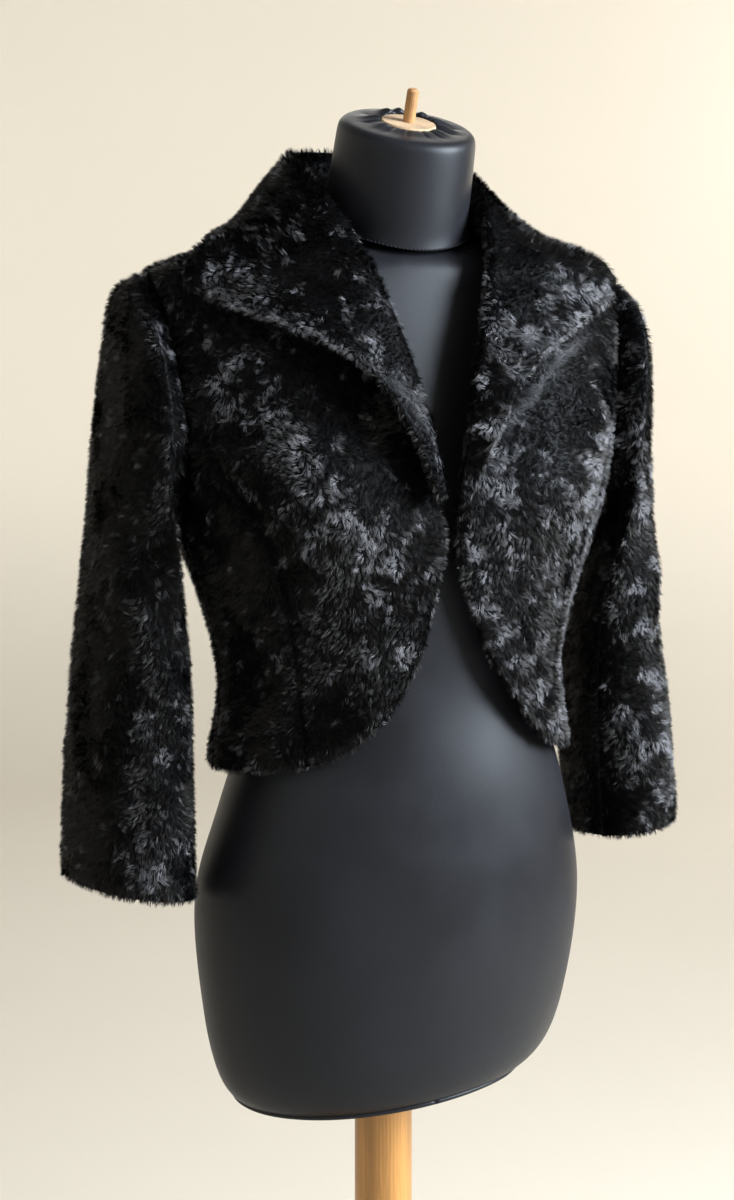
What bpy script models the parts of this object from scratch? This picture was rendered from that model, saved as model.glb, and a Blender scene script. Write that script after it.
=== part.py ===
"""Cropped plush blazer worn by a limbless dress form on a pole stand.

Metres, +Z up, the front of the form towards -Y, the wearer's right towards -X.
Every cloth piece is one wall: an inner skin, an outer skin and the rims that join them.
"""
import math

import bmesh
import bpy
import numpy as np
from mathutils import Vector
from mathutils.bvhtree import BVHTree

# Cloth: a backing with a crushed pile on it, and the gap left at every seam.
BACKING = 0.0015
PILE = 0.0045
WALL = BACKING + PILE
SEAM_GAP = 0.0003
SEAT_GAP = 0.0035
COLLAR_WALL = 0.006
COLLAR_CLEARANCE = 0.0044
BREAK_CLEARANCE = 0.0016
BREAK_STATIONS = 4
COLLAR_FOOT_RISE = 1.25
COLLAR_SEAM_GAP = 0.0006
# The jacket hangs a little towards the wearer's right.
JACKET_SHIFT = -0.006

# Stand and form.
BASE_RADIUS = 0.180
BASE_HEIGHT = 0.024
BASE_EDGE = 0.007
POLE_RADIUS = 0.0235
FORM_BOTTOM = 0.490
# The bottom of the form rises towards the wearer's left, round a level patch on the pole.
BOTTOM_SLOPE = 0.11
BOTTOM_SLOPE_REACH = 0.120
BOTTOM_PATCH_RADIUS = 0.032
NECK_TOP_CENTRE = (0.0, -0.045, 1.2405)
NECK_TOP_RADIUS = 0.0530
NECK_TOP_TILT = math.radians(21.0)
NECK_RIM_ROUND = 0.008
DISC_RADIUS = 0.0213
DISC_HEIGHT = 0.005
DISC_RECESS = 0.003
PEG_RADIUS = 0.0046
PEG_LENGTH = 0.0245
ROUND_SEGMENTS = 48

RIGHT = -1
LEFT = 1

# Level rings round the body. A level is the height at the side of the body; the lifts raise or
# lower the ring at the front and the back. Roundness 1 is an ellipse, less is squarer.
RING_COLUMNS = ("level", "half_width", "front", "middle", "back", "front_lift", "back_lift", "roundness")
JACKET_RINGS = (
    (0.740, 0.1450, -0.1320, -0.024, 0.0840, 0.000, 0.000, 0.94),
    (0.775, 0.1400, -0.1290, -0.026, 0.0770, 0.000, 0.000, 0.94),
    (0.820, 0.1345, -0.1260, -0.028, 0.0690, 0.000, 0.000, 0.93),
    (0.880, 0.1450, -0.1250, -0.026, 0.0750, 0.000, 0.000, 0.91),
    (0.930, 0.1620, -0.1250, -0.024, 0.0850, 0.000, 0.000, 0.89),
    (0.970, 0.1730, -0.1240, -0.022, 0.0920, 0.000, 0.000, 0.87),
    (1.030, 0.1850, -0.1130, -0.020, 0.0950, 0.000, 0.000, 0.86),
    (1.090, 0.1900, -0.0980, -0.018, 0.0880, 0.003, 0.004, 0.87),
    (1.127, 0.1860, -0.0890, -0.016, 0.0760, 0.001, 0.008, 0.92),
    (1.138, 0.1600, -0.0840, -0.015, 0.0660, -0.004, 0.014, 1.00),
    (1.150, 0.1150, -0.0800, -0.014, 0.0560, -0.007, 0.020, 1.00),
    (1.168, 0.0640, -0.0780, -0.016, 0.0450, -0.018, 0.022, 1.00),
)
FORM_LOWER_RINGS = (
    (0.490, 0.1150, -0.0900, -0.002, 0.0850, 0.000, 0.000, 1.00),
    (0.494, 0.1290, -0.1010, -0.002, 0.0950, 0.000, 0.000, 1.00),
    (0.508, 0.1400, -0.1090, -0.003, 0.1030, 0.000, 0.000, 1.00),
    (0.540, 0.1490, -0.1160, -0.004, 0.1080, 0.000, 0.000, 0.98),
    (0.640, 0.1600, -0.1260, -0.010, 0.1060, 0.000, 0.000, 0.96),
    (0.730, 0.1400, -0.1230, -0.022, 0.0780, 0.000, 0.000, 0.95),
    (0.825, 0.1150, -0.1120, -0.026, 0.0590, 0.000, 0.000, 0.95),
    (0.900, 0.1260, -0.1130, -0.024, 0.0670, 0.000, 0.000, 0.93),
    (0.965, 0.1390, -0.1130, -0.020, 0.0780, 0.000, 0.000, 0.90),
    (1.030, 0.1500, -0.1020, -0.018, 0.0830, 0.000, 0.000, 0.88),
    (1.090, 0.1600, -0.0880, -0.017, 0.0760, 0.003, 0.004, 0.88),
    (1.125, 0.1620, -0.0800, -0.016, 0.0650, 0.001, 0.008, 0.92),
)
# The jacket rests on the form along these shoulder rings, set down from the jacket by the seat gap.
SHOULDER_RINGS = (
    (1.138, 0.1540, -0.0790, -0.015, 0.0590, -0.004, 0.014, 1.00),
    (1.150, 0.1120, -0.0760, -0.014, 0.0500, -0.007, 0.020, 1.00),
)
FORM_NECK_RING = (1.161, 0.0565, -0.0738, -0.017, 0.0375, -0.016, 0.022, 1.00)

# Bust fullness of the form and of the jacket: height, angle from the centre front, and spreads.
BUST_LEVEL = 0.970
BUST_ANGLE = 36.0
BUST_LEVEL_SPREAD = 0.050
BUST_ANGLE_SPREAD = 20.0
FORM_BUST = 0.020
JACKET_BUST = 0.016

# Hem, armhole and seams of the jacket, as angles (degrees from the centre front) and levels.
HEM_SIDE_LEVEL = 0.757
HEM_BACK_LEVEL = 0.754
SIDE_FRONT_HEM_PLACE = (72.0, HEM_SIDE_LEVEL + 0.003)
ARMPIT_LEVEL = 0.950
SHOULDER_POINT_LEVEL = 1.128
ARMHOLE_HALF_ANGLE = 23.0
PRINCESS_AT_ARMHOLE = 0.23
# Between the end of the hem curve and the armhole, the princess seam runs through these places.
PRINCESS_COLUMNS = ("level", "angle")
PRINCESS_SEAM = (
    (0.820, 48.0),
    (0.880, 48.0),
    (0.930, 49.5),
    (0.960, 53.5),
    (0.993, 60.0),
)
# Rounded front corner: the hem runs along these points from the princess seam to the corner.
HEM_CURVE_COLUMNS = ("level", "right_x", "left_x")
HEM_CURVE = (
    (0.768, 0.1000, 0.1080),
    (0.776, 0.0800, 0.0930),
    (0.794, 0.0560, 0.0740),
    (0.822, 0.0320, 0.0520),
)
# Front edge from the corner up to the break, then the line the lapel rolls on, up to the neck.
FRONT_EDGE_COLUMNS = ("level", "right_x", "left_x")
FRONT_EDGE = (
    (0.822, 0.0320, 0.0520),
    (0.850, 0.0190, 0.0340),
    (0.885, 0.0090, 0.0205),
    (0.905, 0.0060, 0.0135),
    (0.924, 0.0000, 0.0078),
    (0.945, 0.0022, 0.0075),
    (0.965, 0.0080, 0.0110),
    (1.000, 0.0170, 0.0175),
    (1.040, 0.0270, 0.0270),
    (1.090, 0.0420, 0.0420),
    (1.130, 0.0530, 0.0520),
    (1.168, 0.0610, 0.0610),
)

# Sleeve rings below the armhole, as the outer skin of the wearer's left sleeve.
SLEEVE_COLUMNS = ("outer_x", "outer_z", "inner_x", "inner_z", "front", "back", "squareness", "turned_in")
SLEEVE_RINGS = (
    (0.2080, 1.1240, 0.1790, 0.9420, -0.0820, 0.0640, 0.95, 0.0),
    (0.2140, 1.0950, 0.1795, 0.9260, -0.0800, 0.0640, 0.92, 0.0),
    (0.2190, 1.0520, 0.1775, 0.9040, -0.0760, 0.0620, 0.78, 1.0),
    (0.2260, 0.9920, 0.1735, 0.8740, -0.0690, 0.0590, 0.72, 3.0),
    (0.2340, 0.9200, 0.1695, 0.8410, -0.0630, 0.0580, 0.74, 6.0),
    (0.2430, 0.8350, 0.1680, 0.7880, -0.0610, 0.0610, 0.80, 9.0),
    (0.2520, 0.7500, 0.1685, 0.7220, -0.0620, 0.0680, 0.94, 11.0),
    (0.2600, 0.6740, 0.1690, 0.6600, -0.0640, 0.0750, 0.96, 12.0),
)
SLEEVE_ROWS = 20
# How far each cuff hangs from its mirrored place.
CUFF_SWING = {RIGHT: (0.009, 0.0, -0.002), LEFT: (0.011, 0.0, 0.012)}
NORMAL_SMOOTHING = 4
UNDER_SLEEVE_FRONT = 3
UNDER_SLEEVE_BACK = 4

# Soft folds pressed into the sleeves: turn round the sleeve (0 at the armpit, 0.25 at the front),
# run down it, slant, depth (inward is negative) and the two spreads.
SLEEVE_FOLD_COLUMNS = ("turn", "run", "slant", "depth", "turn_spread", "run_spread")
SLEEVE_FOLDS = (
    (0.36, 0.26, 0.35, -0.0030, 0.10, 0.060),
    (0.33, 0.40, 0.50, -0.0035, 0.10, 0.055),
    (0.36, 0.52, -0.40, 0.0035, 0.10, 0.060),
    (0.33, 0.66, -0.30, -0.0035, 0.10, 0.070),
    (0.38, 0.82, 0.10, 0.0035, 0.07, 0.200),
    (0.70, 0.36, -0.40, -0.0035, 0.12, 0.060),
    (0.76, 0.54, 0.35, -0.0035, 0.12, 0.060),
    (0.64, 0.78, 0.15, 0.0040, 0.08, 0.180),
)
# Soft folds of the body: angle, level, slant (degrees per metre), depth and the two spreads.
BODY_FOLD_COLUMNS = ("angle", "level", "slant", "depth", "angle_spread", "level_spread")
BODY_FOLDS = (
    (24.0, 0.835, 60.0, 0.0035, 7.0, 0.070),
    (66.0, 0.850, -90.0, -0.0045, 8.0, 0.075),
    (82.0, 0.800, 40.0, 0.0040, 7.0, 0.055),
    (112.0, 0.840, 70.0, -0.0045, 9.0, 0.080),
    (138.0, 0.810, -50.0, 0.0040, 8.0, 0.070),
    (160.0, 0.860, 60.0, -0.0040, 9.0, 0.090),
)

# Collar stations from the break to the centre back, for the wearer's left side: the roll line, the
# outer edge, and the swell of the fall between them. The foot of the stand follows the body's border.
COLLAR_COLUMNS = ("roll_x", "roll_y", "roll_z", "edge_x", "edge_y", "edge_z", "swell")
COLLAR_STATIONS = (
    (0.0045, -0.1405, 0.9700, 0.0120, -0.1440, 0.9650, 0.000),
    (0.0085, -0.1405, 0.9900, 0.0215, -0.1480, 0.9870, 0.000),
    (0.0140, -0.1370, 1.0180, 0.0350, -0.1490, 1.0110, 0.001),
    (0.0230, -0.1290, 1.0560, 0.0640, -0.1480, 1.0420, 0.003),
    (0.0330, -0.1180, 1.0920, 0.0980, -0.1360, 1.0650, 0.004),
    (0.0430, -0.1040, 1.1260, 0.1300, -0.1140, 1.0840, 0.005),
    (0.0520, -0.0870, 1.1530, 0.1540, -0.0870, 1.0990, 0.005),
    (0.0600, -0.0670, 1.1780, 0.1680, -0.0560, 1.1160, 0.004),
    (0.0670, -0.0420, 1.1990, 0.1410, -0.0220, 1.1460, 0.001),
    (0.0700, -0.0120, 1.2130, 0.1280, 0.0180, 1.1510, 0.001),
    (0.0650, 0.0200, 1.2220, 0.1150, 0.0560, 1.1450, 0.003),
    (0.0500, 0.0440, 1.2260, 0.0880, 0.0830, 1.1360, 0.006),
    (0.0260, 0.0560, 1.2280, 0.0450, 0.0960, 1.1290, 0.007),
    (0.0000, 0.0590, 1.2280, 0.0000, 0.0990, 1.1270, 0.007),
)
COLLAR_BREAK_LEVEL = 0.960
COLLAR_EDGE_STEP = 0.017
FALL_POINTS = 6
STAND_POINTS = 2

# Grid counts: rows up each seam, and columns across each panel.
SIDE_ROWS = 11
UPPER_ARMHOLE_ROWS = 6
BACK_ARMHOLE_ROWS = 9
SHOULDER_ROWS = 5
FRONT_COLUMNS = 7
SIDE_FRONT_COLUMNS = 5
BACK_COLUMNS = 8
TORSO_SEGMENTS = 40
TORSO_ROWS = 26
NECK_ROWS = 6

PLUSH_COLOUR = (0.012, 0.012, 0.014)
FORM_COLOUR = (0.020, 0.020, 0.022)
POLE_COLOUR = (0.50, 0.27, 0.11)
DISC_COLOUR = (0.58, 0.42, 0.25)


def clear_scene():
    """Remove what the start-up scene holds."""
    for item in list(bpy.data.objects):
        bpy.data.objects.remove(item, do_unlink=True)


def make_material(name, colour, roughness):
    """Plain Principled material of one colour."""
    material = bpy.data.materials.new(name)
    material.use_nodes = True
    shader = material.node_tree.nodes["Principled BSDF"]
    shader.inputs["Base Color"].default_value = (*colour, 1.0)
    shader.inputs["Roughness"].default_value = roughness
    shader.inputs["Metallic"].default_value = 0.0
    return material


def add_object(name, points, faces, material):
    """One named mesh object of triangles with outward faces and smooth shading."""
    mesh = bpy.data.meshes.new(name)
    mesh.from_pydata([tuple(point) for point in points], [], faces)
    work = bmesh.new()
    work.from_mesh(mesh)
    bmesh.ops.recalc_face_normals(work, faces=work.faces)
    bmesh.ops.triangulate(work, faces=work.faces, quad_method="BEAUTY", ngon_method="BEAUTY")
    work.to_mesh(mesh)
    work.free()
    mesh.polygons.foreach_set("use_smooth", [True] * len(mesh.polygons))
    mesh.materials.append(material)
    item = bpy.data.objects.new(name, mesh)
    bpy.context.scene.collection.objects.link(item)
    return item


def unit(vectors):
    """Vectors of length one along the last axis."""
    vectors = np.asarray(vectors, dtype=float)
    length = np.linalg.norm(vectors, axis=-1, keepdims=True)
    return vectors / np.maximum(length, 1e-12)


def smooth_rows(knots, rows, wanted):
    """Monotone cubic through the rows of a table at the wanted places."""
    knots = np.asarray(knots, dtype=float)
    rows = np.asarray(rows, dtype=float)
    wanted = np.clip(np.asarray(wanted, dtype=float), knots[0], knots[-1])
    step = np.diff(knots)[:, None]
    chord = np.diff(rows, axis=0) / step
    slope = np.zeros_like(rows)
    slope[0] = chord[0]
    slope[-1] = chord[-1]
    before, after = chord[:-1], chord[1:]
    weight_1 = 2.0 * step[1:] + step[:-1]
    weight_2 = step[1:] + 2.0 * step[:-1]
    same = before * after > 0.0
    safe_before = np.where(same, before, 1.0)
    safe_after = np.where(same, after, 1.0)
    mean = (weight_1 + weight_2) / (weight_1 / safe_before + weight_2 / safe_after)
    slope[1:-1] = np.where(same, mean, 0.0)
    place = np.clip(np.searchsorted(knots, wanted, side="right") - 1, 0, len(knots) - 2)
    width = step[place]
    t = ((wanted - knots[place])[..., None]) / width
    start, end = rows[place], rows[place + 1]
    part_1 = start * (1 + 2 * t) * (1 - t) ** 2 + end * t * t * (3 - 2 * t)
    part_2 = slope[place] * t * (1 - t) ** 2 - slope[place + 1] * t * t * (1 - t)
    return part_1 + part_2 * width


def through(points, count):
    """Smooth curve through points, sampled at count places evenly along its chord length."""
    points = np.asarray(points, dtype=float)
    run = np.concatenate([[0.0], np.cumsum(np.linalg.norm(np.diff(points, axis=0), axis=1))])
    return smooth_rows(run, points, np.linspace(0.0, run[-1], count))


class BodySurface:
    """Smooth body skin through a table of level rings."""

    def __init__(self, rings, bust, folds=()):
        """Keep the ring table, the bust fullness and the soft folds."""
        self.rings = np.array(rings)
        self.bust = bust
        self.folds = folds

    def skin(self, angle, level):
        """Points at angles (degrees from the centre front) and levels, without folds."""
        angle, level = np.broadcast_arrays(np.asarray(angle, float), np.asarray(level, float))
        row = smooth_rows(self.rings[:, 0], self.rings[:, 1:], level)
        half_width, front, middle, back, front_lift, back_lift, power = np.moveaxis(row, -1, 0)
        sine = np.sin(np.radians(angle))
        cosine = np.cos(np.radians(angle))
        ahead = cosine > 0.0
        depth = np.where(ahead, middle - front, back - middle)
        lift = np.where(ahead, front_lift, back_lift)
        x = half_width * np.sign(sine) * np.abs(sine) ** power
        y = middle - depth * np.sign(cosine) * np.abs(cosine) ** power
        z = level + lift * cosine ** 2
        away = (np.abs(angle) - BUST_ANGLE) / BUST_ANGLE_SPREAD
        high = (level - BUST_LEVEL) / BUST_LEVEL_SPREAD
        y = y - self.bust * np.exp(-away ** 2 - high ** 2)
        return np.stack([x, y, z], axis=-1)

    def normal(self, angle, level):
        """Outward unit normals."""
        turn = self.skin(np.add(angle, 0.5), level) - self.skin(np.subtract(angle, 0.5), level)
        climb = self.skin(angle, np.add(level, 0.001)) - self.skin(angle, np.subtract(level, 0.001))
        return unit(np.cross(turn, climb))

    def point(self, angle, level, offset=0.0):
        """Skin points with the soft folds, moved out by an offset."""
        out = np.full(np.broadcast(angle, level).shape, float(offset))
        for fold_angle, fold_level, slant, depth, spread, level_spread in self.folds:
            high = np.subtract(level, fold_level)
            away = (np.subtract(angle, fold_angle) - slant * high) / spread
            out = out + depth * np.exp(-away ** 2 - (high / level_spread) ** 2)
        return self.skin(angle, level) + self.normal(angle, level) * out[..., None]

    def angle_at(self, x, level):
        """Angle on the front at which the skin is at a given distance from the middle."""
        row = smooth_rows(self.rings[:, 0], self.rings[:, 1:], level)
        share = np.clip(np.asarray(x, float) / row[..., 0], 0.0, 1.0)
        return np.degrees(np.arcsin(share ** (1.0 / row[..., 6])))


JACKET = BodySurface(JACKET_RINGS, JACKET_BUST, BODY_FOLDS)
NECK_LEVEL = JACKET_RINGS[-1][0]


def form_surface():
    """Skin of the form: its own lower rings, and the jacket's shoulder rings set down a little."""
    shoulder = []
    for level, *sizes in SHOULDER_RINGS:
        shoulder.append((level - SEAT_GAP, *sizes))
    return BodySurface(FORM_LOWER_RINGS + tuple(shoulder) + (FORM_NECK_RING,), FORM_BUST)


def mirrored(points, side):
    """Points of the wearer's left side, turned over for the right side and hung in place."""
    return np.asarray(points) * np.array([side, 1.0, 1.0]) + np.array([JACKET_SHIFT, 0.0, 0.0])


def patch(bottom, top, left, right):
    """Grid of (angle, level) places between four edges that meet at their ends."""
    u = np.linspace(0.0, 1.0, len(bottom))[None, :, None]
    v = np.linspace(0.0, 1.0, len(left))[:, None, None]
    across = left[:, None] * (1 - u) + right[:, None] * u
    along = bottom[None] * (1 - v) + top[None] * v
    corners = (bottom[0] * (1 - u) * (1 - v) + bottom[-1] * u * (1 - v)
               + top[0] * (1 - u) * v + top[-1] * u * v)
    return across + along - corners


def armhole_place(turn):
    """Angle and level on the body at a turn round the armhole, from the armpit by the front."""
    around = 2.0 * math.pi * np.asarray(turn, float)
    middle = 0.5 * (ARMPIT_LEVEL + SHOULDER_POINT_LEVEL)
    half = 0.5 * (SHOULDER_POINT_LEVEL - ARMPIT_LEVEL)
    angle = 90.0 - ARMHOLE_HALF_ANGLE * np.sin(around)
    return np.stack([angle, middle - half * np.cos(around)], axis=-1)


def armhole_line(turn):
    """Outer seam line of the armhole."""
    angle, level = np.moveaxis(armhole_place(turn), -1, 0)
    return JACKET.point(angle, level, WALL)


def armhole_rim(turn):
    """Outer and inner rim points at the armhole, mitred between the body and the sleeve."""
    turn = np.asarray(turn, float)
    angle, level = np.moveaxis(armhole_place(turn), -1, 0)
    outer = armhole_line(turn)
    around = armhole_line(turn + 0.004) - armhole_line(turn - 0.004)
    down = sleeve_ring(SLEEVE_RINGS[0], turn) - outer
    sleeve_normal = unit(np.cross(down, around))
    body_normal = JACKET.normal(angle, level)
    mitre = unit(body_normal + sleeve_normal)
    half_turn = np.sum(mitre * body_normal, axis=-1, keepdims=True)
    return outer, outer - WALL * mitre / np.clip(half_turn, 0.7, 1.0)


LOWER_TURNS = np.linspace(0.0, PRINCESS_AT_ARMHOLE, SIDE_FRONT_COLUMNS + 1)
UPPER_TURNS = np.linspace(PRINCESS_AT_ARMHOLE, 0.5, UPPER_ARMHOLE_ROWS + 1)
BACK_TURNS = np.linspace(0.5, 1.0, BACK_ARMHOLE_ROWS + 1)


def princess_edge(side):
    """Places up the princess seam, from the hem to the armhole."""
    table = np.array(PRINCESS_SEAM)
    hem = hem_places(side)[-1]
    places = np.concatenate([hem[None], table[:, ::-1], armhole_place(PRINCESS_AT_ARMHOLE)[None]])
    return through_places(places, SIDE_ROWS + 1)


def through_places(places, count):
    """Smooth run of (angle, level) places, with a degree counted as 2.5 mm of cloth."""
    scale = np.array([0.0025, 1.0])
    return through(np.asarray(places) * scale, count) / scale


def column_x(side):
    """Column of the edge tables that belongs to a side."""
    return 1 if side == RIGHT else 2


def hem_places(side):
    """Places along the rounded hem of the front, from its corner to the princess seam."""
    table = np.array(HEM_CURVE)[::-1]
    level = table[:, 0]
    angle = JACKET.angle_at(table[:, column_x(side)], level)
    return through_places(np.stack([angle, level], axis=-1), FRONT_COLUMNS + 1)


def front_edge_places(side, levels):
    """Places up the front edge and the roll line at given levels."""
    table = np.array(FRONT_EDGE)
    x = smooth_rows(table[:, 0], table[:, column_x(side), None], levels)[..., 0]
    return np.stack([JACKET.angle_at(x, levels), levels], axis=-1)


def side_seam():
    """Places up the side seam."""
    level = np.linspace(HEM_SIDE_LEVEL, ARMPIT_LEVEL, SIDE_ROWS + 1)
    return np.stack([np.full_like(level, 90.0), level], axis=-1)


def shoulder_seam():
    """Places up the shoulder seam from the shoulder point to the neck."""
    level = np.linspace(SHOULDER_POINT_LEVEL, NECK_LEVEL, SHOULDER_ROWS + 1)
    return np.stack([np.full_like(level, 90.0), level], axis=-1)


def wall_grids(places, side):
    """Inner and outer skin grids of a panel."""
    angle, level = np.moveaxis(places, -1, 0)
    inner = JACKET.point(angle, level)
    outer = JACKET.point(angle, level, WALL)
    return mirrored(inner, side), mirrored(outer, side)


def set_rim(grids, rows, columns, turns, side):
    """Put armhole rim points into a run of the panel's border."""
    outer, inner = armhole_rim(turns)
    grids[0][rows, columns] = mirrored(inner, side)
    grids[1][rows, columns] = mirrored(outer, side)


def pull_in(grids, edges):
    """Draw the named borders back by half a seam gap."""
    half = 0.5 * SEAM_GAP
    for grid in grids:
        if "left" in edges:
            grid[:, 0] += half * unit(grid[:, 1] - grid[:, 0])
        if "right" in edges:
            grid[:, -1] += half * unit(grid[:, -2] - grid[:, -1])
        if "bottom" in edges:
            grid[0] += half * unit(grid[1] - grid[0])
        if "top" in edges:
            grid[-1] += half * unit(grid[-2] - grid[-1])


def wall_object(name, grids, material):
    """Solid between an inner and an outer grid, closed by four rims."""
    inner, outer = grids
    rows, columns = inner.shape[:2]
    points = np.concatenate([inner.reshape(-1, 3), outer.reshape(-1, 3)])
    shift = rows * columns
    number = np.arange(shift).reshape(rows, columns)
    faces = []
    for r in range(rows - 1):
        for c in range(columns - 1):
            quad = (number[r, c], number[r, c + 1], number[r + 1, c + 1], number[r + 1, c])
            faces.append(tuple(int(n) for n in quad[::-1]))
            faces.append(tuple(int(n) + shift for n in quad))
    border = list(number[0]) + list(number[1:, -1]) + list(number[-1, -2::-1]) + list(number[-2:0:-1, 0])
    for here, there in zip(border, border[1:] + border[:1]):
        faces.append((int(here), int(there), int(there) + shift, int(here) + shift))
    return add_object(name, points, faces, material)


def side_name(side):
    """Ending of the node names of a side."""
    return "right" if side == RIGHT else "left"


def front_right_edge(side):
    """Places up the princess seam, the upper armhole and the shoulder seam."""
    return np.concatenate([princess_edge(side), armhole_place(UPPER_TURNS[1:]), shoulder_seam()[1:]])


def front_left_edge(side):
    """Places up the front edge and the roll line, row by row with the other edge."""
    right = front_right_edge(side)[:, 1]
    share = (right - right[0]) / (right[-1] - right[0])
    corner = HEM_CURVE[-1][0]
    return front_edge_places(side, corner + share * (NECK_LEVEL - corner))


def make_front(side, material):
    """Front panel: front edge and roll line, hem corner, princess seam, armhole and shoulder."""
    bottom = hem_places(side)
    left = front_left_edge(side)
    right = front_right_edge(side)
    top = np.linspace(left[-1], right[-1], FRONT_COLUMNS + 1)
    grids = wall_grids(patch(bottom, top, left, right), side)
    set_rim(grids, np.arange(SIDE_ROWS, SIDE_ROWS + UPPER_ARMHOLE_ROWS + 1), -1, UPPER_TURNS, side)
    pull_in(grids, ("right",))
    return wall_object("front_" + side_name(side), grids, material)


def make_side_front(side, material):
    """Side front panel: princess seam, side seam, lower armhole and hem."""
    left = princess_edge(side)
    right = side_seam()
    bottom = through_places(np.stack([left[0], SIDE_FRONT_HEM_PLACE, right[0]]), SIDE_FRONT_COLUMNS + 1)
    top = armhole_place(LOWER_TURNS[::-1])
    grids = wall_grids(patch(bottom, top, left, right), side)
    set_rim(grids, -1, np.arange(SIDE_FRONT_COLUMNS + 1), LOWER_TURNS[::-1], side)
    pull_in(grids, ("left", "right"))
    return wall_object("side_front_" + side_name(side), grids, material)


def make_back(side, material):
    """Back half: side seam, back armhole, shoulder, neck, centre-back seam and hem."""
    left = np.concatenate([side_seam(), armhole_place(BACK_TURNS[::-1][1:]), shoulder_seam()[1:]])
    middle_level = np.concatenate([[HEM_BACK_LEVEL], left[1:, 1]])
    right = np.stack([np.full(len(left), 180.0), middle_level], axis=-1)
    bottom = np.linspace(left[0], right[0], BACK_COLUMNS + 1)
    top = np.linspace(left[-1], right[-1], BACK_COLUMNS + 1)
    grids = wall_grids(patch(bottom, top, left, right), side)
    armhole_rows = np.arange(SIDE_ROWS, SIDE_ROWS + BACK_ARMHOLE_ROWS + 1)
    set_rim(grids, armhole_rows, 0, BACK_TURNS[::-1], side)
    pull_in(grids, ("left", "right"))
    return wall_object("back_" + side_name(side), grids, material)


def sleeve_ring(row, turns):
    """Closed sleeve ring from the sizes of one row, starting at the inside of the arm."""
    outer_x, outer_z, inner_x, inner_z, front, back, power, turned_in = row
    around = 2.0 * math.pi * turns
    reach = -np.sign(np.cos(around)) * np.abs(np.cos(around)) ** power
    side = np.sign(np.sin(around)) * np.abs(np.sin(around)) ** power
    across = 0.5 * (outer_x - inner_x) * reach
    ahead = 0.5 * (back - front) * side
    cosine = math.cos(math.radians(turned_in))
    sine = math.sin(math.radians(turned_in))
    x = 0.5 * (outer_x + inner_x) + across * cosine - ahead * sine
    y = 0.5 * (front + back) - across * sine - ahead * cosine
    z = 0.5 * (outer_z + inner_z) + 0.5 * (outer_z - inner_z) * reach
    return np.stack([x, y, z], axis=-1)


def grid_normals(grid):
    """Outward normals of a sleeve grid that closes on itself across its columns."""
    around = np.roll(grid, -1, axis=1) - np.roll(grid, 1, axis=1)
    down = np.gradient(grid, axis=0)
    normals = unit(np.cross(down, around))
    for _ in range(NORMAL_SMOOTHING):
        normals = unit(np.roll(normals, 1, axis=1) + 2.0 * normals + np.roll(normals, -1, axis=1))
    return normals


def sleeve_fold_depth(turns, runs):
    """Depth of the soft folds over a sleeve grid."""
    depth = np.zeros((len(runs), len(turns)))
    for turn, run, slant, fold, turn_spread, run_spread in SLEEVE_FOLDS:
        away = (turns[None, :] - turn)
        along = (runs[:, None] - run) - slant * away
        depth += fold * np.exp(-(away / turn_spread) ** 2 - (along / run_spread) ** 2)
    return depth


def sleeve_grids(side):
    """Inner and outer grids of a whole sleeve, rows from the armhole to the cuff."""
    turns = np.concatenate([LOWER_TURNS[:-1], UPPER_TURNS[:-1], BACK_TURNS[:-1]])
    rim_outer, rim_inner = armhole_rim(turns)
    rings = [rim_outer] + [sleeve_ring(row, turns) for row in SLEEVE_RINGS]
    lines = np.stack(rings)
    outer = np.stack([through(lines[:, n], SLEEVE_ROWS + 1) for n in range(len(turns))], axis=1)
    runs = np.linspace(0.0, 1.0, SLEEVE_ROWS + 1)
    outward = grid_normals(outer)
    outer = outer + outward * sleeve_fold_depth(turns, runs)[..., None]
    outer[0] = rim_outer
    inner = outer - WALL * grid_normals(outer)
    inner[0] = rim_inner
    away = SEAM_GAP * unit(outer[1] - outer[0])
    outer[0] = outer[0] + away
    inner[0] = inner[0] + away
    swing = np.array(CUFF_SWING[side]) * (runs ** 2)[:, None, None]
    return mirrored(inner, side) + swing, mirrored(outer, side) + swing


def make_sleeve(side, material):
    """Top sleeve and under sleeve, parted along the two long seams."""
    grids = sleeve_grids(side)
    count = grids[0].shape[1]
    top_columns = np.arange(UNDER_SLEEVE_FRONT, count - UNDER_SLEEVE_BACK + 1)
    under_columns = np.arange(count - UNDER_SLEEVE_BACK, count + UNDER_SLEEVE_FRONT + 1) % count
    made = []
    for part, columns in (("sleeve_top_", top_columns), ("sleeve_under_", under_columns)):
        half = tuple(grid[:, columns].copy() for grid in grids)
        pull_in(half, ("left", "right"))
        made.append(wall_object(part + side_name(side), half, material))
    return made


def border_places(side):
    """Places of the body's border that the collar is sewn to, from the break to the centre back."""
    front = front_left_edge(side)
    front = front[front[:, 1] >= COLLAR_BREAK_LEVEL]
    shoulder = np.array([90.0, NECK_LEVEL])
    round_front = np.linspace(front[-1], shoulder, FRONT_COLUMNS + 1)[1:]
    round_back = np.linspace(shoulder, np.array([180.0, NECK_LEVEL]), BACK_COLUMNS + 1)[1:]
    return np.concatenate([front, round_front, round_back])


def collar_feet(side):
    """Inner and outer foot of the stand, a seam gap clear of the body's border."""
    angle, level = np.moveaxis(border_places(side), -1, 0)
    inner = JACKET.point(angle, level)
    outer = JACKET.point(angle, level, WALL)
    away = unit(np.cross(JACKET.normal(angle, level), np.gradient(inner, axis=0)))
    clear = inner + away * COLLAR_SEAM_GAP
    return clear, clear + outer - inner


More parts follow.
